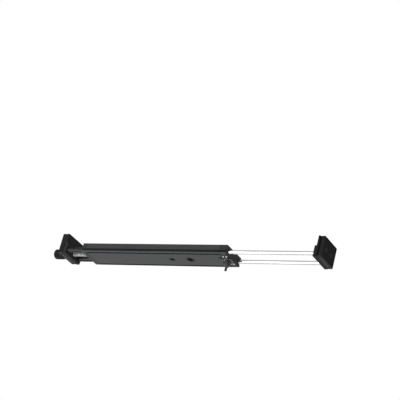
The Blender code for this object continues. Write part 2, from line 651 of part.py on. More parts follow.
def make_lock_block():
    """The lock block with its tongue, rod bores, clamp pocket and wiper seats."""
    length = LOCK_BLOCK_LENGTH - SEAT_GAP
    block = outlined("lock_block", end_section(), length, (BAR_RIGHT - length / 2, 0, 0), ACROSS_BAR)
    bevel(block, RAIL_CHAMFER)
    tongue = tongue_box("tongue", 0, RAIL_RIGHT - TONGUE_LENGTH, BAR_RIGHT - LOCK_BLOCK_LENGTH / 2)
    boolean(block, tongue, "UNION")
    half = CLAMP_PLATE_WIDTH / 2 + SEAT_GAP
    cut(block, box("clamp_pocket", (RAIL_RIGHT, -half, -SEAT_GAP),
                   (CLAMP_POCKET_RIGHT, half, CLAMP_POCKET_TOP)))
    cut(block, cylinder("lock_screw_hole", LOCK_SCREW_RADIUS + SCREW_GAP,
                        LOCK_SCREW_TIP_HEIGHT + SEAT_GAP, (LOCK_AXIS, 0, 0)))
    for side, sign in SIDES.items():
        line = sign * CHANNEL_SPACING / 2
        cut(block, cylinder("rod_bore_" + side, ROD_BORE_RADIUS, LOCK_BLOCK_LENGTH + 2 * SEAT_GAP,
                            (RAIL_RIGHT - SEAT_GAP, line, ROD_LINE_HEIGHT), ALONG_X))
        cut(block, cylinder("wiper_seat_" + side, WIPER_RADIUS + SCREW_GAP,
                            WIPER_LENGTH + 2 * SEAT_GAP,
                            (BAR_RIGHT - WIPER_LENGTH - SEAT_GAP, line, ROD_LINE_HEIGHT), ALONG_X))
        x, y, _ = tongue_screw_place(sign)
        cut(block, cylinder("tongue_thread_" + side, SCREW_RADIUS + SCREW_GAP,
                            ROD_LINE_HEIGHT + TONGUE_HEIGHT / 2 - SEAT_GAP / 2, (x, y, 0),
                            steps=SMALL_STEPS))
        wiper = ring("rod_wiper_" + side, WIPER_RADIUS, ROD_RADIUS + RUNNING_GAP, WIPER_LENGTH,
                     (BAR_RIGHT - WIPER_LENGTH, line, ROD_LINE_HEIGHT), ALONG_X)
        finish(wiper, POLYMER)
        cap_screw("tongue_screw_" + side, tongue_screw_place(sign), (0, 0, 0), tongue_screw_shank(),
                  BLACK_STEEL)
    return finish(block, ANODISED)


def make_clamp():
    """The clamp plate, its set screws and washer, and the wing screw that lifts it."""
    half = CLAMP_PLATE_WIDTH / 2
    plate = box("clamp_plate", (CLAMP_PLATE_LEFT, -half, CLAMP_PLATE_BOTTOM),
                (CLAMP_PLATE_RIGHT, half, CLAMP_PLATE_TOP))
    bevel(plate, RAIL_CHAMFER / 2)
    cut(plate, cylinder("plate_lock_hole", LOCK_SCREW_RADIUS + SCREW_GAP,
                        CLAMP_PLATE_THICKNESS + 2 * SEAT_GAP,
                        (LOCK_AXIS, 0, CLAMP_PLATE_BOTTOM - SEAT_GAP)))
    for prefix, x in CLAMP_SCREWS.items():
        for side, sign in SIDES.items():
            start = clamp_screw_place(x, sign)
            cut(plate, grub_hole(prefix + "hole_" + side, start, (0, 0, 0),
                                 CLAMP_SCREW_PROUD + CLAMP_PLATE_THICKNESS + SEAT_GAP))
            grub_screw(prefix + side, start, (0, 0, 0), clamp_screw_length(), STAINLESS,
                       CLAMP_PLATE)
    finish(plate, BLACK_METAL, CLAMP_PLATE)
    washer = ring("lock_washer", LOCK_WASHER_RADIUS, LOCK_SCREW_RADIUS + SCREW_GAP,
                  LOCK_WASHER_THICKNESS, (LOCK_AXIS, 0, LOCK_WASHER_TOP - LOCK_WASHER_THICKNESS))
    finish(washer, STAINLESS, CLAMP_PLATE)
    bottom = WING_HUB_TOP - WING_HUB_HEIGHT * 0.8
    tip = LOCK_SCREW_TIP_HEIGHT
    profile = [(0, tip), (LOCK_SCREW_RADIUS - RAIL_CHAMFER, tip),
               (LOCK_SCREW_RADIUS, tip - RAIL_CHAMFER), (LOCK_SCREW_RADIUS, bottom), (0, bottom)]
    finish(turned("lock_screw", profile, (LOCK_AXIS, 0, 0)), BLACK_STEEL, LOCK_SCREW)
    make_wing(bottom)


def wing_outline():
    """Outline of both wings, symmetric about the screw's axis: a broad V with round tips."""
    tip_radius = WING_REACH * 0.17
    tip_centre = (WING_REACH - tip_radius, -WING_DROP + tip_radius)
    top = WING_HUB_TOP - WING_HUB_HEIGHT * 0.12
    valley = WING_HUB_TOP - WING_HUB_HEIGHT * 0.9
    shoulder = (WING_HUB_RADIUS * 1.25, top - WING_HUB_HEIGHT * 0.16)
    right = [(WING_HUB_RADIUS * 0.5, top), shoulder]
    right += reversed(arc(tip_centre, tip_radius, -160, 12, 2 * CORNER_STEPS))
    right += [(WING_HUB_RADIUS * 0.95, valley), (WING_HUB_RADIUS * 0.5, valley + tip_radius / 2)]
    return right + [(-x, z) for x, z in reversed(right)]


def make_wing(screw_bottom):
    """The moulded wing head: a tapered hub and two wings, bored for the screw."""
    low = WING_HUB_TOP - WING_HUB_HEIGHT
    waist = WING_HUB_RADIUS * 0.86
    profile = [(0, WING_HUB_TOP), (WING_HUB_RADIUS, WING_HUB_TOP),
               (WING_HUB_RADIUS, WING_HUB_TOP - WING_HUB_HEIGHT * 0.3), (waist, low + RAIL_CHAMFER),
               (waist - RAIL_CHAMFER, low), (0, low)]
    hub = turned("lock_wing", profile, (LOCK_AXIS, 0, 0))
    wings = outlined("wings", wing_outline(), WING_THICKNESS, (LOCK_AXIS, 0, 0),
                     (math.pi / 2, 0, WING_HEADING))
    bevel(wings, WING_THICKNESS * 0.2, 2, 50)
    boolean(hub, wings, "UNION")
    cut(hub, cylinder("wing_bore", LOCK_SCREW_RADIUS + SCREW_GAP,
                      WING_HUB_TOP - screw_bottom + 2 * SEAT_GAP,
                      (LOCK_AXIS, 0, screw_bottom - SEAT_GAP)))
    finish(hub, POLYMER, LOCK_SCREW)


# Jaws

def jaw_plate(name, inner_x, outward, thickness, seat_radius, seat_depth):
    """A jaw plate with blind seats for its two rods or guides."""
    outline = rounded_rectangle((-JAW_WIDTH / 2, JAW_BOTTOM), (JAW_WIDTH / 2, JAW_TOP),
                                JAW_CORNER_RADIUS)
    plate = outlined(name, outline, thickness, (inner_x + outward * thickness / 2, 0, 0), ACROSS_BAR)
    bevel(plate, JAW_CHAMFER)
    turn = ALONG_X if outward > 0 else (0, -math.pi / 2, 0)
    for side, sign in SIDES.items():
        line = sign * CHANNEL_SPACING / 2
        cut(plate, cylinder("%s_seat_%s" % (name, side), seat_radius + SCREW_GAP,
                            seat_depth + 2 * SEAT_GAP,
                            (inner_x - outward * SEAT_GAP, line, ROD_LINE_HEIGHT), turn))
    return plate


def add_jaw_fasteners(prefix, plate, inner_x, outward, thickness, shaft_radius, joint):
    """Two socket screws through a jaw plate into its pad, and a grub screw under each shaft."""
    outer_x = inner_x + outward * thickness
    inward = (0, -math.pi / 2, 0) if outward > 0 else ALONG_X
    middle = inner_x + outward * thickness / 2
    grub_length = ROD_LINE_HEIGHT - shaft_radius - SEAT_GAP - JAW_BOTTOM - SEAT_GAP
    shank = thickness - SCREW_HEAD_LENGTH + SEAT_GAP + PAD_SCREW_GRIP
    for side, sign in SIDES.items():
        start = (outer_x - outward * SEAT_GAP, sign * PAD_SCREW_SPACING / 2, PAD_SCREW_HEIGHT)
        cut(plate, screw_hole("%s_pad_screw_hole_%s" % (prefix, side), start, inward, shank))
        cap_screw("%s_pad_screw_%s" % (prefix, side), start, inward, shank, BLACK_STEEL, joint)
        start = (middle, sign * CHANNEL_SPACING / 2, JAW_BOTTOM + SEAT_GAP)
        cut(plate, grub_hole("%s_grub_hole_%s" % (prefix, side), start, (0, 0, 0),
                             grub_length + 2 * SEAT_GAP))
        grub_screw("%s_grub_screw_%s" % (prefix, side), start, (0, 0, 0), grub_length, BLACK_STEEL,
                   joint)


def pad_outline(inward):
    """Side view of a pad: a plain back, a ledge at the foot and ribs above it, facing inward."""
    back = 0
    face = inward * PAD_THICKNESS
    ledge = inward * (PAD_THICKNESS + PAD_LEDGE)
    root = inward * (PAD_THICKNESS - PAD_RIB_DEPTH)
    points = [(back, JAW_TOP), (back, JAW_BOTTOM), (ledge, JAW_BOTTOM), (ledge, PAD_LEDGE_HEIGHT),
              (face, PAD_LEDGE_HEIGHT)]
    pitch = (JAW_TOP - PAD_LEDGE_HEIGHT) / (PAD_RIB_COUNT + 1)
    for i in range(PAD_RIB_COUNT):
        groove = PAD_LEDGE_HEIGHT + pitch * (i + 1)
        points += [(face, groove - PAD_RIB_WIDTH / 2), (root, groove), (face, groove + PAD_RIB_WIDTH / 2)]
    return points + [(face, JAW_TOP)]


def jaw_pad(name, back_x, inward, shaft_radius):
    """A rubber pad with holes for the shafts and blind holes for its screws."""
    pad = outlined(name, pad_outline(inward), JAW_WIDTH, (back_x, 0, 0), ALONG_BAR)
    bevel(pad, JAW_CHAMFER / 2, 1, 80)
    turn = ALONG_X if inward > 0 else (0, -math.pi / 2, 0)
    through = PAD_THICKNESS + PAD_LEDGE + 2 * SEAT_GAP
    for side, sign in SIDES.items():
        cut(pad, cylinder("%s_shaft_hole_%s" % (name, side), shaft_radius + SCREW_GAP, through,
                          (back_x - inward * SEAT_GAP, sign * CHANNEL_SPACING / 2, ROD_LINE_HEIGHT),
                          turn))
        cut(pad, cylinder("%s_screw_hole_%s" % (name, side), SCREW_RADIUS + SCREW_GAP,
                          PAD_SCREW_GRIP + 2 * SEAT_GAP,
                          (back_x - inward * SEAT_GAP, sign * PAD_SCREW_SPACING / 2,
                           PAD_SCREW_HEIGHT), turn, SMALL_STEPS))
    return pad


def make_right_jaw():
    """The right jaw: plate, pad, rods, the rods' inner stops and every screw that holds them."""
    plate = jaw_plate("right_jaw_plate", RIGHT_PLATE_X, 1, RIGHT_PLATE_THICKNESS, ROD_RADIUS,
                      ROD_SEAT_DEPTH)
    add_jaw_fasteners("right", plate, RIGHT_PLATE_X, 1, RIGHT_PLATE_THICKNESS, ROD_RADIUS, RIGHT_JAW)
    finish(plate, BLACK_METAL, RIGHT_JAW)
    finish(jaw_pad("right_jaw_pad", RIGHT_PLATE_X - SEAT_GAP, -1, ROD_RADIUS), RUBBER, RIGHT_JAW)
    end = RIGHT_PLATE_X + ROD_SEAT_DEPTH
    grip = 2 * SCREW_HEAD_LENGTH
    stop_x = ROD_INNER_REST - SEAT_GAP - ROD_STOP_LENGTH
    for side, sign in SIDES.items():
        line = sign * CHANNEL_SPACING / 2
        rod = cylinder("right_rod_" + side, ROD_RADIUS, end - ROD_INNER_REST,
                       (ROD_INNER_REST, line, ROD_LINE_HEIGHT), ALONG_X)
        cut(rod, cylinder("rod_thread_" + side, SCREW_RADIUS + SCREW_GAP, grip + 2 * SEAT_GAP,
                          (ROD_INNER_REST - SEAT_GAP, line, ROD_LINE_HEIGHT), ALONG_X, SMALL_STEPS))
        finish(rod, CHROME, RIGHT_JAW)
        stop = ring("rod_stop_" + side, ROD_STOP_RADIUS, SCREW_RADIUS + SCREW_GAP, ROD_STOP_LENGTH,
                    (stop_x, line, ROD_LINE_HEIGHT), ALONG_X)
        finish(stop, BLACK_STEEL, RIGHT_JAW)
        cap_screw("stop_screw_" + side, (stop_x - SEAT_GAP - SCREW_HEAD_LENGTH, line, ROD_LINE_HEIGHT),
                  ALONG_X, ROD_STOP_LENGTH + 2 * SEAT_GAP + grip, BLACK_STEEL, RIGHT_JAW)


def make_left_jaw():
    """The left jaw: plate, pad, guides and the seat of the lead screw's clip."""
    plate = jaw_plate("left_jaw_plate", LEFT_PLATE_X, -1, LEFT_PLATE_THICKNESS, GUIDE_RADIUS,
                      GUIDE_SEAT_DEPTH)
    cut(plate, cylinder("plate_lead_hole", LEAD_SCREW_RADIUS + SCREW_GAP,
                        LEFT_PLATE_THICKNESS + 2 * SEAT_GAP,
                        (LEFT_OUTER_X - SEAT_GAP, 0, ROD_LINE_HEIGHT), ALONG_X))
    cut(plate, cylinder("clip_recess", CLIP_RADIUS + SCREW_GAP, CLIP_THICKNESS + 3 * SEAT_GAP,
                        (LEFT_PLATE_X - CLIP_THICKNESS - 2 * SEAT_GAP, 0, ROD_LINE_HEIGHT), ALONG_X))
    add_jaw_fasteners("left", plate, LEFT_PLATE_X, -1, LEFT_PLATE_THICKNESS, GUIDE_RADIUS, LEFT_JAW)
    finish(plate, BLACK_METAL, LEFT_JAW)
    pad = jaw_pad("left_jaw_pad", LEFT_PLATE_X + SEAT_GAP, 1, GUIDE_RADIUS)
    cut(pad, cylinder("pad_lead_hole", LEAD_SCREW_RADIUS + 2 * SCREW_GAP,
                      PAD_THICKNESS + PAD_LEDGE + 2 * SEAT_GAP, (LEFT_PLATE_X, 0, ROD_LINE_HEIGHT),
                      ALONG_X))
    finish(pad, RUBBER, LEFT_JAW)
    start = LEFT_PLATE_X - GUIDE_SEAT_DEPTH
    for side, sign in SIDES.items():
        guide = cylinder("left_guide_" + side, GUIDE_RADIUS, BAR_LEFT + GUIDE_ENGAGEMENT - start,
                         (start, sign * CHANNEL_SPACING / 2, ROD_LINE_HEIGHT), ALONG_X)
        bevel(guide, RAIL_CHAMFER)
        finish(guide, BLACK_METAL, LEFT_JAW)
    washer = ring("thrust_washer", THRUST_WASHER_RADIUS, LEAD_SCREW_RADIUS + SCREW_GAP,
                  THRUST_WASHER_THICKNESS,
                  (LEFT_OUTER_X - SEAT_GAP - THRUST_WASHER_THICKNESS, 0, ROD_LINE_HEIGHT), ALONG_X)
    finish(washer, STAINLESS, LEFT_JAW)


# Lead screw and knob

def make_lead_screw():
    """The lead screw, with a neck for the clip that keeps it in the left jaw."""
    end = BAR_LEFT + LEAD_SCREW_ENGAGEMENT
    clip_x = LEFT_PLATE_X - CLIP_THICKNESS - SEAT_GAP
    origin = Vector((LEFT_OUTER_X, 0, ROD_LINE_HEIGHT))
    neck = [(LEAD_SCREW_RADIUS, clip_x + CLIP_THICKNESS + RUNNING_GAP),
            (LEAD_SCREW_NECK_RADIUS, clip_x + CLIP_THICKNESS + RUNNING_GAP),
            (LEAD_SCREW_NECK_RADIUS, clip_x - RUNNING_GAP), (LEAD_SCREW_RADIUS, clip_x - RUNNING_GAP)]
    points = [(0, end), (LEAD_SCREW_RADIUS - RAIL_CHAMFER, end),
              (LEAD_SCREW_RADIUS, end - RAIL_CHAMFER), *neck,
              (LEAD_SCREW_RADIUS, LEAD_SCREW_END_X), (0, LEAD_SCREW_END_X)]
    screw = turned("lead_screw", [(r, x - origin.x) for r, x in points], origin, ALONG_X)
    finish(screw, CHROME, LEAD_SCREW)
    opening = 35
    reach = LEAD_SCREW_NECK_RADIUS + RUNNING_GAP
    outline = arc((0, 0), CLIP_RADIUS, opening, 360 - opening, 24)
    outline += reversed(arc((0, 0), reach, opening, 360 - opening, 24))
    clip = outlined("retaining_clip", outline, CLIP_THICKNESS,
                    (clip_x + CLIP_THICKNESS / 2, 0, ROD_LINE_HEIGHT), ACROSS_BAR)
    finish(clip, BLACK_STEEL, LEAD_SCREW)


def knob_outline():
    """Fluted outline of the knob: a cosine round the rim."""
    count = KNOB_FLUTE_COUNT * 4
    middle = KNOB_RADIUS - KNOB_FLUTE_DEPTH / 2
    points = []
    for i in range(count):
        angle = 2 * math.pi * i / count
        radius = middle + KNOB_FLUTE_DEPTH / 2 * math.cos(KNOB_FLUTE_COUNT * angle)
        points.append((radius * math.cos(angle), radius * math.sin(angle)))
    return points


def make_knob():
    """The fluted knob with chamfered ends, and the set screw that holds it on the lead screw."""
    middle = (KNOB_INNER_X + KNOB_OUTER_X) / 2
    knob = outlined("adjusting_knob", knob_outline(), KNOB_LENGTH, (middle, 0, ROD_LINE_HEIGHT),
                    ACROSS_BAR)
    bevel(knob, KNOB_CHAMFER, 1, 70)
    cut(knob, cylinder("knob_bore", LEAD_SCREW_RADIUS + SCREW_GAP, KNOB_BORE_DEPTH + SEAT_GAP,
                       (KNOB_INNER_X - KNOB_BORE_DEPTH, 0, ROD_LINE_HEIGHT), ALONG_X))
    length = KNOB_RADIUS - KNOB_FLUTE_DEPTH - LEAD_SCREW_RADIUS - 2 * SEAT_GAP
    start = (KNOB_INNER_X - KNOB_SET_SCREW_INSET,
             KNOB_RADIUS - KNOB_FLUTE_DEPTH - SEAT_GAP, ROD_LINE_HEIGHT)
    inward = (math.pi / 2, 0, 0)
    cut(knob, grub_hole("knob_screw_hole", (start[0], KNOB_RADIUS, ROD_LINE_HEIGHT), inward,
                        KNOB_RADIUS - LEAD_SCREW_RADIUS))
    finish(knob, BLACK_METAL, LEAD_SCREW)
    grub_screw("knob_set_screw", start, inward, length, BLACK_STEEL, LEAD_SCREW)


def main():
    """Build every piece of the clamp bar."""
    make_rail()
    make_bushes()
    make_strips()
    make_left_cap()
    make_lock_block()
    make_clamp()
    make_right_jaw()
    make_left_jaw()
    make_lead_screw()
    make_knob()
    bpy.context.view_layer.update()


main()
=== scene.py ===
"""Studio scene of a clamp bar that holds a tablet or slim laptop over a tripod head.

The bar is a dovetail rail with a jaw on two bright slide rods at its right end, and a
screw-drawn jaw with a fluted knob at its left end. Each CAD node is replaced by a finer
surface of the same piece, worked out with numpy inside the node's own box.

Frame: X along the bar towards the sliding jaw, Y across it, Z up. Metres throughout.
"""
from __future__ import annotations

import logging
import math
from dataclasses import dataclass, replace
from enum import Enum
from typing import Sequence

import bmesh
import bpy
import numpy as np
from mathutils import Matrix, Vector

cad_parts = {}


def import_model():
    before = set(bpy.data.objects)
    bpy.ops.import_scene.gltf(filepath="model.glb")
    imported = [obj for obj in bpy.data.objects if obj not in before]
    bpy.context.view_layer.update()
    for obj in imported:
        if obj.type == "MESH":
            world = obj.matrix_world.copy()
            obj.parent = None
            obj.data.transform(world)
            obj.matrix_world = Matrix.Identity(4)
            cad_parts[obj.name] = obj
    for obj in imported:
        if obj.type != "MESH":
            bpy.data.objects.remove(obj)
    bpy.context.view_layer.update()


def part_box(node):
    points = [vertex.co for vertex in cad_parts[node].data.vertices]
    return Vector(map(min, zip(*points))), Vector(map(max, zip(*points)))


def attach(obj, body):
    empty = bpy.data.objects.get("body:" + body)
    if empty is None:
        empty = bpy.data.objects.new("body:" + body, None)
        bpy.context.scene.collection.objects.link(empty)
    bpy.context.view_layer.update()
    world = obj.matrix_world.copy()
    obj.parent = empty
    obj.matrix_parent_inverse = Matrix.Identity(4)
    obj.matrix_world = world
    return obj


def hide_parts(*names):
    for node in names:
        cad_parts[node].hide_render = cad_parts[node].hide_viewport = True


LOG = logging.getLogger("clamp_bar")
SIDES = {"near": -1, "far": 1}
ROUND = 72                      # columns round a shaft or bore
FINE_ROUND = 48                 # columns round a small screw
POLISHED_ROUND = 96             # columns round a rod or guide
SHARP_ANGLE = math.radians(34)  # edges sharper than this stay sharp
TINY = 1e-12                    # lengths that divide are kept above this
HEAD_LENGTH = 0.0020            # head of a cap screw
SHANK = 0.0014                  # radius of a cap screw's shank
SCREW_HOLE = 0.0016             # radius of the hole that it goes in
SCREW_PITCH = 0.0005            # pitch of cap screws and set screws
CENTRE_HOLE = 0.0004            # radius at which a turned face closes
SHAFT_CENTRE = 0.0003           # the same for a rod or guide
ROOM = 0.0002                   # room round a piece in its hole
GRUB_ROOM = 0.00015             # room round a set screw in its hole
SEAT = 0.0003                   # room behind a piece in its hole
OVER = 0.001                    # how far a cutter stands out
FACE_ROOM = 0.0001              # room round the faces that take a further finish
FAR_OUT = 1.0                   # beyond every face
BUSHES = {"small_thread_bush": (0.0027, 0.00127), "large_thread_bush": (0.0041, 0.0015875)}

Corners = list[tuple[float, float, float]]
Piece = bpy.types.Object
Socket = bpy.types.NodeSocket


# Shapes

class Axis(Enum):
    """Directions of turned and extruded pieces: two cross directions, then the way along."""

    RIGHT = ((0, 1, 0), (0, 0, 1), (1, 0, 0))
    LEFT = ((0, 1, 0), (0, 0, -1), (-1, 0, 0))
    FAR = ((0, 0, 1), (1, 0, 0), (0, 1, 0))
    NEAR = ((0, 0, 1), (-1, 0, 0), (0, -1, 0))
    UP = ((1, 0, 0), (0, 1, 0), (0, 0, 1))
    DOWN = ((1, 0, 0), (0, -1, 0), (0, 0, -1))

    @property
    def basis(self) -> np.ndarray:
        """The three directions as rows."""
        return np.array(self.value, dtype=float)

    @property
    def along(self) -> np.ndarray:
        """The way along the piece."""
        return self.basis[2]


@dataclass(frozen=True)
class Span:
    """Box of a CAD node, from which its finer piece takes its place and size."""

    low: np.ndarray
    high: np.ndarray

    @classmethod
    def of(cls, node: str) -> "Span":
        """Read a node's box from the frame."""
        low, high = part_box(node)
        return cls(np.array(low, dtype=float), np.array(high, dtype=float))

    @property
    def middle(self) -> np.ndarray:
        """Centre of the box."""
        return (self.low + self.high) / 2

    @property
    def size(self) -> np.ndarray:
        """Lengths of the box along X, Y and Z."""
        return self.high - self.low

    def start(self, axis: Axis = Axis.RIGHT) -> np.ndarray:
        """Centre of the face from which a piece along the axis starts."""
        return self.middle - axis.along * self.length(axis) / 2

    def length(self, axis: Axis = Axis.RIGHT) -> float:
        """Length of the box along an axis, the bar's own unless told."""
        return float(np.abs(axis.along) @ self.size)

    def radius(self, axis: Axis = Axis.RIGHT) -> float:
        """Half of the box across an axis."""
        return float(np.abs(axis.basis[0]) @ self.size) / 2

    def turned(self, axis: Axis = Axis.RIGHT) -> tuple[float, float]:
        """Radius and length of a piece that is turned round an axis."""
        return self.radius(axis), self.length(axis)


def rounded(corners: Corners, steps: int = 5, closed: bool = True) -> np.ndarray:
    """Turn each corner of a line into an arc that touches both of its sides.

    The arc starts at radius / tan(half the corner's angle) from the corner, and its points
    are the centre plus the first radius turned evenly towards the last one.

    Args:
        corners: Corners as (first, second, radius), in order along the line.
        steps: Straight pieces in each arc.
        closed: Whether the last corner joins the first.

    Returns:
        Points of the line, two numbers each, without repeats.
    """
    data = np.array(corners, dtype=float)
    points, radii = data[:, :2], data[:, 2].copy()
    if not closed:
        radii[[0, -1]] = 0
    back = np.roll(points, 1, axis=0) - points
    ahead = np.roll(points, -1, axis=0) - points
    reach_back = np.maximum(np.linalg.norm(back, axis=1), TINY)
    reach_ahead = np.maximum(np.linalg.norm(ahead, axis=1), TINY)
    back, ahead = back / reach_back[:, None], ahead / reach_ahead[:, None]
    half = np.arccos(np.clip(np.sum(back * ahead, axis=1), -1, 1)) / 2
    straight = np.abs(half - math.pi / 2) < 1e-4
    tangent = np.tan(np.clip(half, 1e-4, math.pi / 2 - 1e-4))
    touch = np.minimum(radii / tangent, 0.48 * np.minimum(reach_back, reach_ahead))
    touch[straight] = 0
    radius = touch * tangent
    bisector = back + ahead
    bisector /= np.maximum(np.linalg.norm(bisector, axis=1), TINY)[:, None]
    centre = points + bisector * (radius / np.sin(np.clip(half, 1e-4, None)))[:, None]
    first = points + back * touch[:, None] - centre
    last = points + ahead * touch[:, None] - centre
    turn_by = np.maximum(math.pi - 2 * half, 1e-6)[:, None]
    share = np.linspace(0, 1, steps + 1)[None, :]
    weight_first = np.sin((1 - share) * turn_by) / np.sin(turn_by)
    weight_last = np.sin(share * turn_by) / np.sin(turn_by)
    arc = (centre[:, None] + weight_first[..., None] * first[:, None]
           + weight_last[..., None] * last[:, None])
    flat = radius < 1e-9
    arc[flat] = points[flat, None]
    line = arc.reshape(-1, 2)
    keep = np.linalg.norm(line - np.roll(line, 1, axis=0), axis=1) > 1e-8
    if not closed:
        keep[0] = True
    return line[keep]


def frame_outline(low: Sequence[float], high: Sequence[float], radius: float,
                  steps: int = 6) -> np.ndarray:
    """Rectangle between two corners, with round corners."""
    return rounded([(low[0], low[1], radius), (high[0], low[1], radius),
                    (high[0], high[1], radius), (low[0], high[1], radius)], steps)


def both_sides(right: Corners, steps: int = 4) -> np.ndarray:
    """Outline from the corners of its right half, in (outwards, up), and their mirror images."""
    return rounded(right + [(-out, up, radius) for out, up, radius in reversed(right)], steps)


def inset(outline: np.ndarray, amount: float) -> np.ndarray:
    """Move a closed outline inwards: each point by its two sides' mitred normal."""
    ahead = np.roll(outline, -1, axis=0)
    side = ahead - outline
    side /= np.maximum(np.linalg.norm(side, axis=1), TINY)[:, None]
    area = np.sum(outline[:, 0] * ahead[:, 1] - outline[:, 1] * ahead[:, 0])
    normal = np.stack([-side[:, 1], side[:, 0]], axis=1) * np.sign(area)
    before = np.roll(normal, 1, axis=0)
    mitre = (normal + before) / (1 + np.sum(normal * before, axis=1))[:, None]
    return outline + mitre * amount


def eased(low: float, high: float, radius: float, steps: int = 4) -> np.ndarray:
    """Stations of an extrusion whose two end edges are quarter rounds.

    A station at angle t of the round lies radius * (1 - cos t) past the face and is inset by
    radius * (1 - sin t).

    Args:
        low: Place of the first face.
        high: Place of the last face.
        radius: Radius of the round edge.
        steps: Straight pieces in each round.

    Returns:
        Rows of (place, inset).
    """
    angle = np.linspace(0, math.pi / 2, steps + 1)
    first = np.stack([low + radius * (1 - np.cos(angle)), radius * (1 - np.sin(angle))], axis=1)
    last = first[::-1] * (-1, 1) + (low + high, 0)
    return np.vstack([first, last])


def extrude(outline: np.ndarray, stations: np.ndarray, axis: Axis) -> np.ndarray:
    """Carry an outline along an axis: row k is the outline, inset and moved to station k."""
    first, second, along = axis.basis
    rows = np.stack([inset(outline, amount) for amount in stations[:, 1]])
    return (rows[..., :1] * first + rows[..., 1:] * second + stations[:, 0, None, None] * along)


@dataclass(frozen=True)
class Thread:
    """A screw thread cut into one straight stretch of a turned profile.

    The radius at (place, angle) loses depth * ease * (1 - cos(2 pi (place / pitch) - angle)) / 2,
    where ease rises from 0 to 1 over half a pitch at either end. A negative depth cuts outwards.
    """

    start: float
    end: float
    radius: float
    pitch: float
    depth: float

    def rows(self, per_turn: int = 8) -> np.ndarray:
        """Profile points of the threaded stretch."""
        count = max(4, round(abs(self.end - self.start) / self.pitch * per_turn))
        place = np.linspace(self.start, self.end, count)
        return np.stack([place, np.full(count, self.radius)], axis=1)

    def relief(self, profile: np.ndarray, angle: np.ndarray) -> np.ndarray:
        """How much each point of the turned grid is cut."""
        place = profile[:, :1]
        low, high = min(self.start, self.end), max(self.start, self.end)
        ease = np.clip(np.minimum(place - low, high - place) / (0.5 * self.pitch), 0, 1)
        ease = ease * (np.abs(profile[:, 1:] - self.radius) < 1e-7)
        wave = np.cos(2 * math.pi * place / self.pitch - angle[None, :])
        return self.depth * ease * (0.5 - 0.5 * wave)


def turn(profile: np.ndarray, axis: Axis, origin: Sequence[float], columns: int = ROUND,
         hexagon: np.ndarray | None = None, thread: Thread | None = None,
         flutes: np.ndarray | None = None) -> np.ndarray:
    """Turn a profile round an axis.

    The point at (row, angle) is origin + place * along + radius * (cos * first + sin * second).
    A row of weight w has the hexagon's radius, corner * cos 30 / cos(angle mod 60 - 30), to w.

    Args:
        profile: Rows of (place along the axis, radius).
        axis: Direction of the axis.
        origin: Point of the axis where place is 0.
        columns: Columns round the axis.
        hexagon: Weight of the hexagon for each row, or None for a round piece.
        thread: Thread to cut into the profile.
        flutes: What to take off the radius at each row and column.

    Returns:
        Grid of points, one row for each row of the profile.
    """
    first, second, along = axis.basis
    angle = np.arange(columns) * 2 * math.pi / columns
    radius = np.repeat(profile[:, 1:], columns, axis=1)
    if hexagon is not None:
        six = math.cos(math.pi / 6) / np.cos(np.mod(angle, math.pi / 3) - math.pi / 6)
        radius = radius * (1 + hexagon[:, None] * (six[None, :] - 1))
    if thread is not None:
        radius = radius - thread.relief(profile, angle)
    if flutes is not None:
        radius = radius - flutes
    return (np.array(origin, dtype=float) + profile[:, :1, None] * along
            + radius[..., None] * (np.cos(angle)[None, :, None] * first
                                   + np.sin(angle)[None, :, None] * second))


def linked(name: str, data: bpy.types.ID) -> Piece:
    """A new object with the given data, linked to the scene."""
    made = bpy.data.objects.new(name, data)
    bpy.context.scene.collection.objects.link(made)
    return made


def skin(name: str, grid: np.ndarray, ring: bool = False) -> Piece:
    """Make a closed mesh over a grid whose columns run round the piece.

    Args:
        name: Name of the new object.
        grid: Points by row and column.
        ring: Whether the last row joins the first; otherwise each end row gets a face.

    Returns:
        The new object, linked to the scene, with its faces pointing outwards.
    """
    rows, columns = grid.shape[:2]
    index = np.arange(rows * columns).reshape(rows, columns)
    if ring:
        index = np.vstack([index, index[:1]])
    beside = np.roll(index, -1, axis=1)
    quads = np.stack([index[:-1], beside[:-1], beside[1:], index[1:]], axis=-1)
    faces = quads.reshape(-1, 4).tolist()
    if not ring:
        faces += [index[0, ::-1].tolist(), index[-1].tolist()]
    mesh = bpy.data.meshes.new(name)
    mesh.from_pydata(grid.reshape(-1, 3).tolist(), [], faces)
    outward = bmesh.new()
    outward.from_mesh(mesh)
    bmesh.ops.remove_doubles(outward, verts=outward.verts, dist=1e-8)
    bmesh.ops.recalc_face_normals(outward, faces=outward.faces)
    outward.to_mesh(mesh)
    outward.free()
    return linked(name, mesh)


def slab(name: str, outline: np.ndarray, low: float, high: float, edge: float, steps: int = 4,
         axis: Axis = Axis.RIGHT) -> Piece:
    """An outline extruded between two places along an axis, with round end edges."""
    return skin(name, extrude(outline, eased(low, high, edge, steps), axis))


def prism(name: str, outline: np.ndarray, low: float, high: float,
          axis: Axis = Axis.RIGHT) -> Piece:
    """An outline extruded between two places along an axis, with plain ends."""
    return skin(name, extrude(outline, np.array([(low, 0), (high, 0)]), axis))


def settle(piece: Piece) -> None:
    """Replace a piece's mesh by its mesh with the modifiers worked in."""
    graph = bpy.context.evaluated_depsgraph_get()
    mesh = bpy.data.meshes.new_from_object(piece.evaluated_get(graph))
    old = piece.data
    piece.modifiers.clear()
    piece.data = mesh
    bpy.data.meshes.remove(old)


def gather(piece: Piece, other: Piece) -> None:
    """Put another piece's shell into a piece's mesh as it is, and remove the other."""
    both = bmesh.new()
    both.from_mesh(piece.data)
    both.from_mesh(other.data)
    bpy.data.objects.remove(other, do_unlink=True)
    both.to_mesh(piece.data)
    both.free()


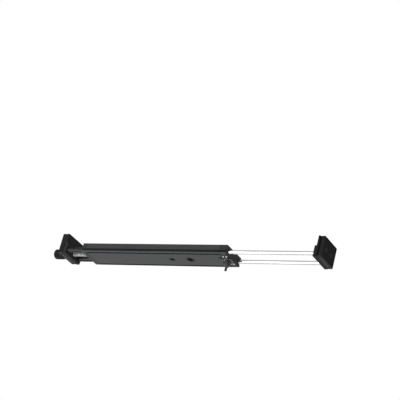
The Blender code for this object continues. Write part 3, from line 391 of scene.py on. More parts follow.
def work(piece: Piece, tools: Sequence[Piece], operation: str = "DIFFERENCE") -> None:
    """Cut tools out of a piece, or join them to it, and remove the tools."""
    for tool in tools:
        change = piece.modifiers.new("work", "BOOLEAN")
        change.operation = operation
        change.solver = "EXACT"
        change.object = tool
    settle(piece)
    for tool in tools:
        mesh = tool.data
        bpy.data.objects.remove(tool, do_unlink=True)
        bpy.data.meshes.remove(mesh)


@dataclass(frozen=True)
class Bore:
    """A round hole from a face inwards, with a rounded mouth and maybe a counterbore.

    The mouth's round has the points (ease * (1 - cos t), radius + ease * (1 - sin t)).
    """

    axis: Axis
    mouth: tuple[float, float, float]
    radius: float
    depth: float
    ease: float = 0.00015
    wide_radius: float = 0.0
    wide_depth: float = 0.0
    through: bool = False
    over: float = 0.0008
    fine_below: float = 0.003

    def tool(self) -> Piece:
        """Cutter of the hole."""
        angle = np.linspace(0, math.pi / 2, 4)
        outer = self.wide_radius or self.radius
        flare = np.stack([self.ease * (1 - np.cos(angle)),
                          outer + self.ease * (1 - np.sin(angle))], axis=1)
        rows = [np.array([(-self.over, outer + self.ease)]), flare]
        if self.wide_radius:
            rows.append(np.array([(self.wide_depth, outer), (self.wide_depth, self.radius)]))
        if self.through:
            leave = np.stack([self.depth - flare[::-1, 0],
                              flare[::-1, 1] - outer + self.radius], axis=1)
            rows += [leave, np.array([(self.depth + self.over, self.radius + self.ease)])]
        else:
            rows.append(np.array([(self.depth, self.radius)]))
        columns = FINE_ROUND if max(outer, self.radius) < self.fine_below else ROUND
        return skin("bore", turn(np.vstack(rows), self.axis, self.mouth, columns))


def upright_bore(at: Sequence[float], base: float, radius: float, depth: float,
                 **options: float) -> Piece:
    """Cutter of a hole that goes up from a height at a point; options are a Bore's fields."""
    return Bore(Axis.UP, (at[0], at[1], base), radius, depth, **options).tool()


# Finishes

class Grain(Enum):
    """How the fine marks of a finish lie: the pattern's stretch along X, Y and Z."""

    BLASTED = (1.0, 1.0, 1.0)
    DRAWN = (0.02, 1.0, 1.0)
    GROUND = (1.0, 0.04, 0.04)
    MOULDED = (1.0, 1.0, 0.8)
    TURNED = (1.0, 1.0, 0.0)


class Nodes:
    """Short way to build one node tree."""

    def __init__(self, tree: bpy.types.NodeTree) -> None:
        """Start with an empty tree."""
        self.tree = tree
        tree.nodes.clear()

    def feed(self, sockets: Sequence[Socket], values: Sequence[object]) -> None:
        """Link or set each input socket, in order."""
        for socket, value in zip(sockets, values):
            if isinstance(value, Socket):
                self.tree.links.new(value, socket)
            else:
                socket.default_value = value

    def add(self, kind: str, settings: dict[str, object] | None = None,
            **inputs: object) -> bpy.types.Node:
        """Add a node.

        Args:
            kind: Blender's name of the node's type.
            settings: Properties of the node.
            inputs: Values or output sockets for its inputs, with _ for a space.

        Returns:
            The new node.
        """
        node = self.tree.nodes.new(kind)
        for name, value in (settings or {}).items():
            setattr(node, name, value)
        for name, value in inputs.items():
            title = name.replace("_", " ")
            self.feed([next(s for s in node.inputs if s.name == title and s.enabled)], [value])
        return node

    def place(self) -> Socket:
        """Each point's place in the piece's own coordinates."""
        return self.add("ShaderNodeTexCoord").outputs["Object"]

    def noise(self, place: Socket, size: float, detail: float, roughness: float) -> Socket:
        """Noise with grains of a size."""
        return self.add("ShaderNodeTexNoise", Vector=place, Scale=1 / size, Detail=detail,
                        Roughness=roughness).outputs[0]

    def math(self, operation: str, first: object, second: object) -> Socket:
        """One sum on two numbers."""
        node = self.add("ShaderNodeMath", {"operation": operation})
        self.feed(node.inputs[:2], (first, second))
        return node.outputs[0]

    def vector(self, operation: str, *values: Socket) -> Socket:
        """One sum on vectors whose result is a number."""
        node = self.add("ShaderNodeVectorMath", {"operation": operation})
        self.feed(node.inputs, values)
        return node.outputs["Value"]

    def spread(self, value: Socket, low: float, high: float,
               new_low: float = 0.0, new_high: float = 1.0) -> Socket:
        """Move a number from one range to another and hold it there."""
        node = self.add("ShaderNodeMapRange")
        self.feed(node.inputs[:5], (value, low, high, new_low, new_high))
        return node.outputs[0]

    def blend(self, share: Socket, first: object, second: object) -> Socket:
        """Mix two colours."""
        node = self.add("ShaderNodeMix", {"data_type": "RGBA"})
        self.feed([node.inputs[index] for index in (0, 6, 7)], (share, first, second))
        return node.outputs[2]


@dataclass(frozen=True)
class Finish:
    """One surface finish: tone, gloss, fine marks and a painted highlight that lightens its edges.
    """

    slot: str
    tone: tuple[float, float, float]
    roughness: float
    grain: Grain
    grain_size: float
    grain_height: float
    tone_swing: float
    roughness_swing: float = 0.05
    metallic: float = 0.0
    # painted highlight: how much lighter the edges are painted, over edge_width
    edge_highlight_gain: float = 0.0
    edge_width: float = 0.00025
    specular: float = 0.5
    patch_size: float = 0.012
    use: str = ""

    @property
    def name(self) -> str:
        """Name of the material."""
        return "_".join(filter(None, (self.slot, self.grain.name.lower(), self.use)))

    def shade(self, gain: float) -> tuple[float, float, float, float]:
        """The tone made lighter or darker."""
        red, green, blue = (min(1.0, part * gain) for part in self.tone)
        return red, green, blue, 1.0

    def material(self) -> bpy.types.Material:
        """Build the material once: marks, patches and edges feed tone, roughness and bump."""
        known = bpy.data.materials.get(self.name)
        if known is not None:
            return known
        made = bpy.data.materials.new(self.name)
        made.use_nodes = True
        made.diffuse_color = self.shade(1.0)
        nodes = Nodes(made.node_tree)
        if self.grain is Grain.TURNED:
            place = nodes.add("ShaderNodeAttribute", {"attribute_name": "lathe"}).outputs["Vector"]
        else:
            place = nodes.place()
        stretched = nodes.add("ShaderNodeMapping", Vector=place, Scale=self.grain.value).outputs[0]
        marks = nodes.noise(stretched, self.grain_size, 4.0, 0.6)
        patches = nodes.noise(nodes.place(), self.patch_size, 3.0, 0.55)
        mixed = nodes.math("ADD", nodes.math("MULTIPLY", marks, 0.5),
                           nodes.math("MULTIPLY", patches, 0.5))
        tone = nodes.blend(nodes.spread(mixed, 0.35, 0.65), self.shade(1 - self.tone_swing),
                           self.shade(1 + self.tone_swing))
        bump = nodes.add("ShaderNodeBump", Height=marks, Distance=self.grain_height, Strength=1.0)
        rough = nodes.spread(mixed, 0.3, 0.7, self.roughness - self.roughness_swing,
                             self.roughness + self.roughness_swing)
        # painted highlight: edges lightened as if they caught the light
        if self.edge_highlight_gain > 0:
            tone = nodes.blend(self.edge_highlight(nodes, patches), tone, self.shade(1 + self.edge_highlight_gain))
        shader = nodes.add("ShaderNodeBsdfPrincipled", Base_Color=tone, Roughness=rough,
                           Normal=bump.outputs[0], Metallic=self.metallic,
                           Specular_IOR_Level=self.specular)
        nodes.add("ShaderNodeOutputMaterial", Surface=shader.outputs[0])
        return made

    def edge_highlight(self, nodes: Nodes, patches: Socket) -> Socket:
        """Where an edge takes its painted highlight: the softened normal leaves the plain one, more
        in some patches.
        """
        soft = nodes.add("ShaderNodeBevel", {"samples": 4}, Radius=self.edge_width).outputs[0]
        plain = nodes.add("ShaderNodeNewGeometry").outputs["Normal"]
        apart = nodes.math("SUBTRACT", 1.0, nodes.vector("DOT_PRODUCT", soft, plain))
        return nodes.math("MULTIPLY", nodes.spread(apart, 0.02, 0.22),
                          nodes.spread(patches, 0.3, 0.6, 0.35))


CHARCOAL = Finish(slot="anodised_charcoal", tone=(0.046, 0.047, 0.049), roughness=0.42,
                  grain=Grain.DRAWN, grain_size=0.00022, grain_height=0.000004, tone_swing=0.10,
                  edge_highlight_gain=1.2, edge_width=0.0004, specular=0.20)
CHARCOAL_CAP = replace(CHARCOAL, tone=(0.031, 0.032, 0.034), grain=Grain.BLASTED,
                       grain_size=0.00018, specular=0.15)
# painted shade: a darker copy of the charcoal for the notch, where shade falls
NOTCH_SHADE = replace(CHARCOAL, tone=(0.0230, 0.0235, 0.0245), roughness=0.50, edge_highlight_gain=0.0,
                specular=0.10, use="notch")
# painted shade: a near-black copy for the inside of the foot's grooves
GROOVE_SHADE = replace(NOTCH_SHADE, tone=(0.0070, 0.0071, 0.0073), roughness=0.60, use="groove")
# painted highlight: a lighter copy of the charcoal along the foot's edge, where light catches it
FOOT_HIGHLIGHT = replace(CHARCOAL, tone=(0.066, 0.067, 0.069), roughness=0.38, edge_highlight_gain=0.4,
                    specular=0.25, use="edge")
BLACK = Finish(slot="black_anodised", tone=(0.0070, 0.0070, 0.0073), roughness=0.38,
               grain=Grain.BLASTED, grain_size=0.00016, grain_height=0.000005, tone_swing=0.14,
               edge_highlight_gain=1.4, specular=0.22)
BLACK_TURNED = replace(BLACK, tone=(0.0060, 0.0060, 0.0063), roughness=0.40, grain=Grain.TURNED,
                       grain_size=0.00012, edge_highlight_gain=0.6, specular=0.10)
GUIDE = replace(BLACK_TURNED, tone=(0.0180, 0.0182, 0.0187), roughness=0.34, edge_highlight_gain=0.8,
                specular=0.20, use="guide")
# painted light: a lighter copy of the black for the right plate, with a strong painted edge
# highlight
JAW_SIDE_LIT = replace(BLACK, tone=(0.0130, 0.0130, 0.0134), edge_highlight_gain=3.2, edge_width=0.0007,
                   specular=0.14, use="jaw")
# painted shade: a darker copy of the black for the right jaw's outer face, slot and holes
JAW_FACE_SHADED = replace(BLACK, tone=(0.0050, 0.0050, 0.0052), roughness=0.46, edge_highlight_gain=0.6,
                   specular=0.05, use="face")
BRIGHT = Finish(slot="bright_steel", tone=(0.79, 0.79, 0.80), roughness=0.10, metallic=1.0,
                grain=Grain.GROUND, grain_size=0.00010, grain_height=0.0000003, tone_swing=0.03,
                roughness_swing=0.03)
SCREW_STEEL = replace(BRIGHT, tone=(0.43, 0.43, 0.44), roughness=0.22, grain=Grain.TURNED,
                      grain_size=0.00012, grain_height=0.000002, tone_swing=0.05,
                      roughness_swing=0.05, use="thread")
STEEL = Finish(slot="stainless", tone=(0.60, 0.60, 0.61), roughness=0.26, metallic=1.0,
               grain=Grain.TURNED, grain_size=0.00010, grain_height=0.000003, tone_swing=0.06,
               roughness_swing=0.06, edge_highlight_gain=0.25)
SET_STEEL = replace(STEEL, tone=(0.86, 0.86, 0.87), roughness=0.30, grain_height=0.000002,
                    tone_swing=0.04, roughness_swing=0.05, edge_highlight_gain=0.0, use="set")
OXIDE = Finish(slot="blackened_steel", tone=(0.012, 0.012, 0.0125), roughness=0.38,
               grain=Grain.TURNED, grain_size=0.00012, grain_height=0.000004, tone_swing=0.18,
               roughness_swing=0.07, edge_highlight_gain=1.2, specular=0.25)
RUBBER = Finish(slot="black_rubber", tone=(0.014, 0.014, 0.014), roughness=0.72,
                grain=Grain.MOULDED, grain_size=0.00030, grain_height=0.000020, tone_swing=0.16,
                roughness_swing=0.06, edge_highlight_gain=0.5, specular=0.3)
PAD_RUBBER = replace(RUBBER, tone=(0.0150, 0.0150, 0.0150), roughness=0.62, specular=0.12,
                     use="pad")
# painted shade: a near-black sheet for the shadow in the right jaw's slot
SHADOW_BAND = replace(RUBBER, tone=(0.0030, 0.0030, 0.0030), roughness=0.85,
                      grain_height=0.000010, edge_highlight_gain=0.0, specular=0.1, use="band")
BRASS = Finish(slot="brass", tone=(0.66, 0.47, 0.18), roughness=0.24, metallic=1.0,
               grain=Grain.TURNED, grain_size=0.00014, grain_height=0.000003, tone_swing=0.07,
               roughness_swing=0.06, edge_highlight_gain=0.2)
POLYMER = Finish(slot="black_polymer", tone=(0.027, 0.027, 0.028), roughness=0.42,
                 grain=Grain.MOULDED, grain_size=0.00026, grain_height=0.000014, tone_swing=0.12,
                 roughness_swing=0.06, edge_highlight_gain=0.6)


# Sub-assemblies

@dataclass(frozen=True)
class Section:
    """Cross section of the dovetail rail, which its two end pieces carry on."""

    notch_depth: float = 0.0019
    foot_height: float = 0.0019
    flange_height: float = 0.0069
    notch_rise: float = 0.0006
    notch_edge: float = 0.00022
    notch_root: float = 0.0004
    edge: float = 0.00045
    foot_edge: float = 0.0008
    groove_inset: float = 0.0026
    groove_width: float = 0.0026
    groove_depth: float = 0.0022
    groove_draft: float = 0.0001
    groove_lip: float = 0.0002
    strip_recess: float = 0.0007
    strip_margin: float = 0.0002
    strip_lip: float = 0.00015
    root: float = 0.0001

    def side(self, span: Span) -> Corners:
        """Filleted corners of one side: the foot, the V notch and the flange."""
        half, top = span.high[1], span.high[2]
        neck, notch_top = half - self.notch_depth, top - self.flange_height
        return [(half, 0, self.foot_edge), (half, self.foot_height, self.notch_edge),
                (neck, self.foot_height + self.notch_depth, self.notch_root),
                (neck, notch_top - self.notch_rise, self.notch_root),
                (half, notch_top, self.notch_edge), (half, top, self.edge)]

    def plain(self, span: Span) -> np.ndarray:
        """Outline with a flat foot and a flat top."""
        return both_sides(self.side(span))

    def full(self, span: Span) -> np.ndarray:
        """Outline with the grooves near the foot's edges and the strips' recesses."""
        half, top = span.high[1], span.high[2]
        strip = Span.of("top_strip_far")
        groove, reach = half - self.groove_inset, self.groove_width / 2
        out, within = strip.high[1] + self.strip_margin, strip.low[1] - self.strip_margin
        floor, depth, bed = reach - self.groove_draft, self.groove_depth, top - self.strip_recess
        return both_sides([
            (groove - reach, 0, self.groove_lip), (groove - floor, depth, self.root),
            (groove + floor, depth, self.root), (groove + reach, 0, self.groove_lip),
            *self.side(span), (out, top, self.strip_lip), (out, bed, self.root),
            (within, bed, self.root), (within, top, self.strip_lip)])


@dataclass
class SubAssembly:
    """Pieces that ride on one body, set out on the lines that the whole bar shares."""

    body: str = ""
    section: Section = Section()
    shaft_height: float = 0.0048
    shaft_line: float = 0.013
    cap_screw_line: float = 0.0065
    tongue_corner: float = 0.0004
    cap_socket: float = 0.0024
    cap_socket_depth: float = 0.0011
    grub_socket_depth: float = 0.0007

    def place(self, piece: Piece, node: str | None, finish: Finish,
              axis: Axis = Axis.RIGHT) -> None:
        """Give a piece its shading, finish and body, and let it stand for its CAD node.

        Args:
            piece: The finer piece.
            node: The CAD node that it replaces, or None for trim of its own.
            finish: Its finish.
            axis: Axis that a turned finish's marks run round.
        """
        mesh = piece.data
        mesh.polygons.foreach_set("use_smooth", np.ones(len(mesh.polygons), dtype=bool))
        mesh.set_sharp_from_angle(angle=SHARP_ANGLE)
        if finish.grain is Grain.TURNED:
            self.mark_turning(mesh, axis, Span.of(node))
        normals = piece.modifiers.new("even_normals", "WEIGHTED_NORMAL")
        normals.keep_sharp = True
        mesh.materials.clear()
        mesh.materials.append(finish.material())
        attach(piece, self.body)
        if node is not None:
            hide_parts(node)
        LOG.info("%s stands for %s on %s: %d faces", piece.name, node or "no node", self.body,
                 len(mesh.polygons))

    @staticmethod
    def mark_turning(mesh: bpy.types.Mesh, axis: Axis, span: Span) -> None:
        """Store (place along the axis, distance from it, 0) at each point, for rings of marks."""
        points = np.empty(len(mesh.vertices) * 3)
        mesh.vertices.foreach_get("co", points)
        local = (points.reshape(-1, 3) - span.middle) @ axis.basis.T
        away = np.hypot(local[:, 0], local[:, 1])
        marks = np.stack([local[:, 2], away, np.zeros(len(local))], axis=1)
        layer = mesh.attributes.new("lathe", "FLOAT_VECTOR", "POINT")
        layer.data.foreach_set("vector", marks.ravel())

    @staticmethod
    def second_finish(piece: Piece, finish: Finish, low: Sequence[float],
                      high: Sequence[float]) -> None:
        """Give one more finish to the faces whose middles (X, Y without sign, Z) lie in a box."""
        mesh = piece.data
        mesh.materials.append(finish.material())
        count = len(mesh.polygons)
        centre, index = np.empty(count * 3), np.empty(count, dtype=np.int32)
        mesh.polygons.foreach_get("center", centre)
        mesh.polygons.foreach_get("material_index", index)
        centre = centre.reshape(-1, 3)
        centre[:, 1] = np.abs(centre[:, 1])
        index[np.all((centre > low) & (centre < high), axis=1)] = len(mesh.materials) - 1
        mesh.polygons.foreach_set("material_index", index)

    def dress_sides(self, piece: Piece, span: Span) -> None:
        """Paint shade into the notch with a darker finish, and a painted highlight on the foot's
        edge with a lighter one.

        Args:
            piece: The placed piece.
            span: The box that its section was drawn in.
        """
        shape, half = self.section, span.high[1]
        # painted shade in the notch
        self.second_finish(piece, NOTCH_SHADE, (-FAR_OUT, half - shape.notch_depth - FACE_ROOM,
                                          shape.foot_height + FACE_ROOM),
                           (FAR_OUT, half - 0.4 * FACE_ROOM,
                            span.high[2] - shape.flange_height + FACE_ROOM))
        # painted highlight along the foot's side and edge
        self.second_finish(piece, FOOT_HIGHLIGHT, (-FAR_OUT, half - 0.5 * shape.foot_edge, -FAR_OUT),
                           (FAR_OUT, FAR_OUT, shape.foot_height + FACE_ROOM))

    def tongue_outline(self, half: float, rise: float) -> np.ndarray:
        """Outline in Y and Z of the tongue, or of its pocket, round the shafts' height."""
        return frame_outline((-half, self.shaft_height - rise), (half, self.shaft_height + rise),
                             self.tongue_corner, 3)

    def shaft_bore(self, x: float, y: float, radius: float, depth: float,
                   axis: Axis = Axis.RIGHT, **options: float) -> Piece:
        """Cutter of a hole along the bar at the shafts' height; options are a Bore's fields."""
        return Bore(axis, (x, y, self.shaft_height), radius, depth, **options).tool()

    def turned(self, node: str, axis: Axis, profile: np.ndarray, finish: Finish,
               columns: int = ROUND, ring: bool = False, thread: Thread | None = None,
               hexagon: np.ndarray | None = None) -> None:
        """Turn a profile in its node's box and place it.

        Args:
            node: The CAD node, whose surface the piece is.
            axis: Axis of the piece; its profile starts at the box's first face along it.
            profile: Rows of (place along the axis, radius).
            finish: Its finish.
            columns: Columns round the axis.
            ring: Whether the profile closes on itself, round a hole.
            thread: Thread to cut into the profile.
            hexagon: Weight of the hexagon for each row.
        """
        grid = turn(profile, axis, Span.of(node).start(axis), columns, hexagon, thread)
        self.place(skin(node + "_surface", grid, ring), node, finish, axis)

    def socket_screw(self, node: str, axis: Axis, finish: Finish, thread: Thread,
                     socket: tuple[float, float, float], outside: Sequence[np.ndarray]) -> None:
        """A screw with a hexagon socket, in its node's box.

        Args:
            node: The CAD node.
            axis: Direction from the socket to the tip.
            finish: Its finish.
            thread: Its thread.
            socket: Width across the socket's flats, its depth, and the radius of its face.
            outside: Profile rows from the face's rim to the tip.
        """
        across, depth, rim = socket
        corner = across / 2 / math.cos(math.pi / 6)
        inside = np.array([(depth * 1.25, corner * 0.12), (depth, corner * 0.97),
                           (depth * 0.97, corner), (0.00012, corner), (0.0, corner * 1.08),
                           (0.0, rim)])
        profile = np.vstack([inside, *outside])
        hexagon = np.zeros(len(profile))
        hexagon[1:4] = 1
        self.turned(node, axis, profile, finish, FINE_ROUND, thread=thread, hexagon=hexagon)

    def cap_screw(self, node: str, axis: Axis) -> None:
        """A blackened cap screw with a rounded head and a threaded shank."""
        radius, length = Span.of(node).turned(axis)
        rim = radius - 0.00030
        head = rounded([(0, rim, 0), (0, radius, 0.00024), (HEAD_LENGTH, radius, 0.00008),
                        (HEAD_LENGTH, SHANK, 0)], 4, closed=False)[1:]
        thread = Thread(HEAD_LENGTH + 0.0003, length - 0.0004, SHANK, SCREW_PITCH, 0.00022)
        tip = np.array([(length - 0.0001, SHANK * 0.9), (length, SHANK * 0.7)])
        self.socket_screw(node, axis, OXIDE, thread,
                          (self.cap_socket, self.cap_socket_depth, rim),
                          [head, thread.rows(), tip])

    def grub_screw(self, node: str, axis: Axis, finish: Finish = OXIDE,
                   across: float = 1.05) -> None:
        """A headless set screw with a socket of so many radii and a cone point."""
        radius, length = Span.of(node).turned(axis)
        thread = Thread(0.00018, length - radius / 2, radius, SCREW_PITCH, 0.00018)
        tip = np.array([(length - 0.0001, radius * 0.58), (length, radius * 0.42)])
        self.socket_screw(node, axis, finish, thread,
                          (radius * across, self.grub_socket_depth, radius * 0.86),
                          [thread.rows(), tip])

    def washer(self, node: str, axis: Axis, finish: Finish, bore: float,
               ease: float = 0.00012) -> None:
        """A flat ring with round edges."""
        radius, length = Span.of(node).turned(axis)
        profile = rounded([(0, bore, ease), (0, radius, ease), (length, radius, ease),
                           (length, bore, ease)], 3)
        self.turned(node, axis, profile, finish, ring=True)


@dataclass
class Rail(SubAssembly):
    """The extruded dovetail rail with its strips and the two threaded bushes in its foot."""

    body: str = "bar"
    end_edge: float = 0.00012
    channel_radius: float = 0.0034
    cap_screw_reach: float = 0.0072
    tongue_screw_reach: float = 0.0040
    nut_radius: float = 0.0036
    flange_seat: float = 0.0020
    lead_radius: float = 0.0028
    lead_reach: float = 0.0310
    tongue_half: float = 0.0089
    tongue_rise: float = 0.0019
    strip_inset: float = 0.0003
    strip_root: float = 0.00015
    strip_taper: float = 0.66
    strip_drop: float = 0.22
    rib_depth: float = 0.00018
    rib_pitch: float = 0.0012
    bush_room: float = 0.00012
    bush_lead_in: float = 0.0006
    thread_share: float = 0.42

    def build(self) -> None:
        """Make the rail, its strips and its bushes."""
        span = Span.of("rail")
        rail = slab("rail_surface", self.section.full(span), span.low[0], span.high[0],
                    self.end_edge, 2)
        work(rail, self.end_tools(span) + self.foot_tools() + self.middle_tools(span))
        self.place(rail, "rail", CHARCOAL)
        self.dress_sides(rail, span)
        # painted shade inside the foot's grooves
        width = self.section.groove_width
        start = span.high[1] - self.section.groove_inset - width / 2 - 0.2 * FACE_ROOM
        self.second_finish(rail, GROOVE_SHADE, (-FAR_OUT, start, 1.5 * FACE_ROOM),
                           (FAR_OUT, start + width + 0.4 * FACE_ROOM,
                            self.section.groove_depth + FACE_ROOM))
        for side in SIDES:
            self.strip("top_strip_" + side)
        for node, (bore, pitch) in BUSHES.items():
            self.bush(node, bore, pitch)

    def end_tools(self, span: Span) -> list[Piece]:
        """Cutters of the shafts' channels and of the end cap's screw holes."""
        tools = []
        for sign in SIDES.values():
            tools.append(self.shaft_bore(span.low[0], sign * self.shaft_line, self.channel_radius,
                                         span.length(), through=True))
            tools.append(self.shaft_bore(span.low[0], sign * self.cap_screw_line, SCREW_HOLE,
                                         self.cap_screw_reach))
        return tools

    def foot_tools(self) -> list[Piece]:
        """Cutters of the tongue screws' counterbored holes and of the bushes' seats."""
        tools = []
        for side in SIDES:
            screw = Span.of("tongue_screw_" + side)
            tools.append(upright_bore(screw.middle, 0, SCREW_HOLE, self.tongue_screw_reach,
                                      ease=0.00030, wide_radius=screw.radius(Axis.UP) + ROOM,
                                      wide_depth=screw.low[2] + HEAD_LENGTH + SEAT))
        for node in BUSHES:
            bush = Span.of(node)
            tools.append(upright_bore((bush.middle[0], 0), 0, bush.radius(Axis.UP) + self.bush_room,
                                      bush.high[2] + SEAT, ease=0.00025))
        return tools

    def middle_tools(self, span: Span) -> list[Piece]:
        """Cutters of the nut's stepped seat, of the lead screw's room and of the tongue's."""
        nut, left = Span.of("lead_nut"), span.low[0]
        seat = self.shaft_bore(left, 0, self.nut_radius, nut.high[0] - left + SEAT, ease=0.0001,
                               wide_radius=nut.radius() + ROOM,
                               wide_depth=self.flange_seat)
        lead = self.shaft_bore(nut.high[0] - OVER, 0, self.lead_radius, self.lead_reach, ease=0.0)
        outline = self.tongue_outline(self.tongue_half, self.tongue_rise)
        return [seat, lead, prism("tongue_pocket", outline, Span.of("lock_block").low[0] - SEAT,
                                  span.high[0] + OVER)]

    def strip(self, node: str) -> None:
        """A rubber strip with round ends and fine ribs along its top.

        The top falls by rib depth * (1 - cos(2 pi y / rib pitch)) / 2 towards each groove.
        """
        span = Span.of(node)
        middle, half, top = span.middle[1], span.size[1] / 2, span.high[2]
        ribs = np.linspace(half - self.strip_inset, -half + self.strip_inset, 61)
        drop = self.rib_depth * (0.5 - 0.5 * np.cos(2 * math.pi * ribs / self.rib_pitch))
        shoulder = top - self.strip_inset
        foot = rounded([(middle - half, shoulder, 0), (middle - half, span.low[2], self.strip_root),
                        (middle + half, span.low[2], self.strip_root),
                        (middle + half, shoulder, 0)], 3, closed=False)
        outline = np.vstack([np.stack([middle + ribs, top - drop], axis=1), foot])
        angle = np.linspace(0, math.pi / 2, 13)
        reach = half * self.strip_taper
        ends = reach * (1 - np.cos(angle))
        place = np.concatenate([span.low[0] + ends, (span.high[0] - ends)[::-1]])
        angle = np.concatenate([angle, angle[::-1]])
        width = 1 - (reach / half) * (1 - np.sin(angle))
        rows = np.repeat(outline[None], len(place), axis=0)
        rows[..., 0] = middle + (rows[..., 0] - middle) * width[:, None]
        lift = span.size[2] * self.strip_drop * (1 - np.sin(np.clip(angle * 3, 0, math.pi / 2)))
        rows[..., 1] = np.minimum(rows[..., 1], top - lift[:, None])
        along = np.broadcast_to(place[:, None, None], rows.shape[:2] + (1,))
        self.place(skin(node + "_surface", np.concatenate([along, rows], axis=2)), node, RUBBER)

    def bush(self, node: str, bore: float, pitch: float) -> None:
        """A threaded bush with a lead-in chamfer, open at the foot face."""
        radius, length = Span.of(node).turned(Axis.UP)
        lead_in = self.bush_lead_in
        thread = Thread(lead_in, length - 0.0001, bore, pitch, -pitch * self.thread_share)
        outer = rounded([(length, bore, 0), (length, radius, 0.0002), (0, radius, 0.0003),
                         (0, bore + lead_in, 0.0001), (lead_in, bore, 0)], 3, closed=False)
        self.turned(node, Axis.UP, np.vstack([outer, thread.rows(12)[1:]]), OXIDE, ring=True,
                    thread=thread)


@dataclass
class EndCap(SubAssembly):
    """The left end cap, its two screws and the brass nut behind it."""

    body: str = "bar"
    edge: float = 0.0002
    seam: float = 0.00026
    guide_bore: float = 0.0034
    lead_bore: float = 0.0026
    head_seat: float = 0.0027
    nut_radius: float = 0.0034
    flange_length: float = 0.0014
    lead_pitch: float = 0.0008

    def build(self) -> None:
        """Make the cap, its screws and the nut."""
        span = Span.of("left_end_cap")
        length, left = span.length() + self.seam, span.low[0]
        cap = slab("left_end_cap_surface", self.section.plain(span), left, left + length, self.edge)
        tools = [self.shaft_bore(left, 0, self.lead_bore, length, ease=0.0003, through=True)]
        for sign in SIDES.values():
            tools.append(self.shaft_bore(left, sign * self.shaft_line, self.guide_bore, length,
                                         ease=0.0002, through=True))
            tools.append(self.shaft_bore(left, sign * self.cap_screw_line, SCREW_HOLE, length,
                                         ease=0.0002, wide_radius=self.head_seat,
                                         wide_depth=HEAD_LENGTH + SEAT, through=True))
        work(cap, tools)
        self.place(cap, "left_end_cap", CHARCOAL_CAP)
        self.dress_sides(cap, span)
        for side in SIDES:
            self.cap_screw("left_cap_screw_" + side, Axis.RIGHT)
        self.nut()

    def nut(self) -> None:
        """The flanged lead nut with its inner thread."""
        radius, length = Span.of("lead_nut").turned()
        bore, body, flange = self.lead_bore - 0.0001, self.nut_radius, self.flange_length
        thread = Thread(0.0002, length - 0.0002, bore, self.lead_pitch, -0.0003)
        outer = rounded([(length, bore, 0), (length, body, 0.0002), (flange, body, 0.0001),
                         (flange, radius, 0.0001), (0, radius, 0.0002), (0, bore, 0)], 3,
                        closed=False)
        self.turned("lead_nut", Axis.RIGHT, np.vstack([outer, thread.rows()]), BRASS, ring=True,
                    thread=thread)


@dataclass
class LockBlock(SubAssembly):
    """The block at the rail's right end, with its tongue, wipers and tongue screws."""

    body: str = "bar"
    edge: float = 0.0002
    block_length: float = 0.00996
    tongue_half: float = 0.0086
    tongue_rise: float = 0.0016
    tongue_root: float = 0.005
    tongue_screw_base: float = 0.002
    tongue_screw_reach: float = 0.0050
    rod_bore: float = 0.0026
    wiper_seat: float = 0.0038
    wiper_depth: float = 0.0010
    stud_bore: float = 0.0022
    pocket_half: float = 0.0157
    pocket_top: float = 0.0029

    def build(self) -> None:
        """Make the block, the wipers and the tongue's screws."""
        span, rail = Span.of("lock_block"), Span.of("rail")
        right = span.high[0]
        left = right - self.block_length
        block = slab("lock_block_surface", self.section.plain(rail), left, right, self.edge)
        outline = self.tongue_outline(self.tongue_half, self.tongue_rise)
        work(block, [slab("tongue", outline, span.low[0], right - self.tongue_root, 0.0003, 3)],
             "UNION")
        clamp, screw = Span.of("clamp_plate"), Span.of("lock_screw")
        outline = frame_outline((left - OVER, -self.pocket_half),
                                (clamp.high[0] + SEAT, self.pocket_half), 0.0004)
        tools = [prism("pocket", outline, -OVER, self.pocket_top, Axis.UP),
                 upright_bore((screw.middle[0], 0), 0, self.stud_bore, screw.high[2] + SEAT)]
        for side, sign in SIDES.items():
            line = sign * self.shaft_line
            tools.append(self.shaft_bore(left, line, self.rod_bore, right - left + OVER,
                                         ease=0.0001))
            tools.append(self.shaft_bore(right, line, self.wiper_seat, self.wiper_depth,
                                         Axis.LEFT, ease=0.0002))
            tools.append(upright_bore(Span.of("tongue_screw_" + side).middle,
                                      self.tongue_screw_base, SCREW_HOLE,
                                      self.tongue_screw_reach, ease=0.0))
        work(block, tools)
        self.place(block, "lock_block", CHARCOAL_CAP)
        self.dress_sides(block, rail)
        for side in SIDES:
            self.wiper("rod_wiper_" + side)
            self.cap_screw("tongue_screw_" + side, Axis.UP)

    def wiper(self, node: str) -> None:
        """A wiper ring: a flat rim, a moat and a raised lip round the rod."""
        radius, length = Span.of(node).turned()
        bore, face, moat = self.rod_bore, length - 0.00015, length - 0.0005
        profile = rounded([(0, bore, 0.0001), (0, radius, 0.0001), (face, radius, 0.00015),
                           (face, bore + 0.0007, 0.0001), (moat, bore + 0.00055, 0.0001),
                           (moat, bore + 0.0003, 0.0001), (length, bore + 0.00012, 0.0001),
                           (length, bore, 0.00005)], 3)
        self.turned(node, Axis.RIGHT, profile, POLYMER, ring=True)


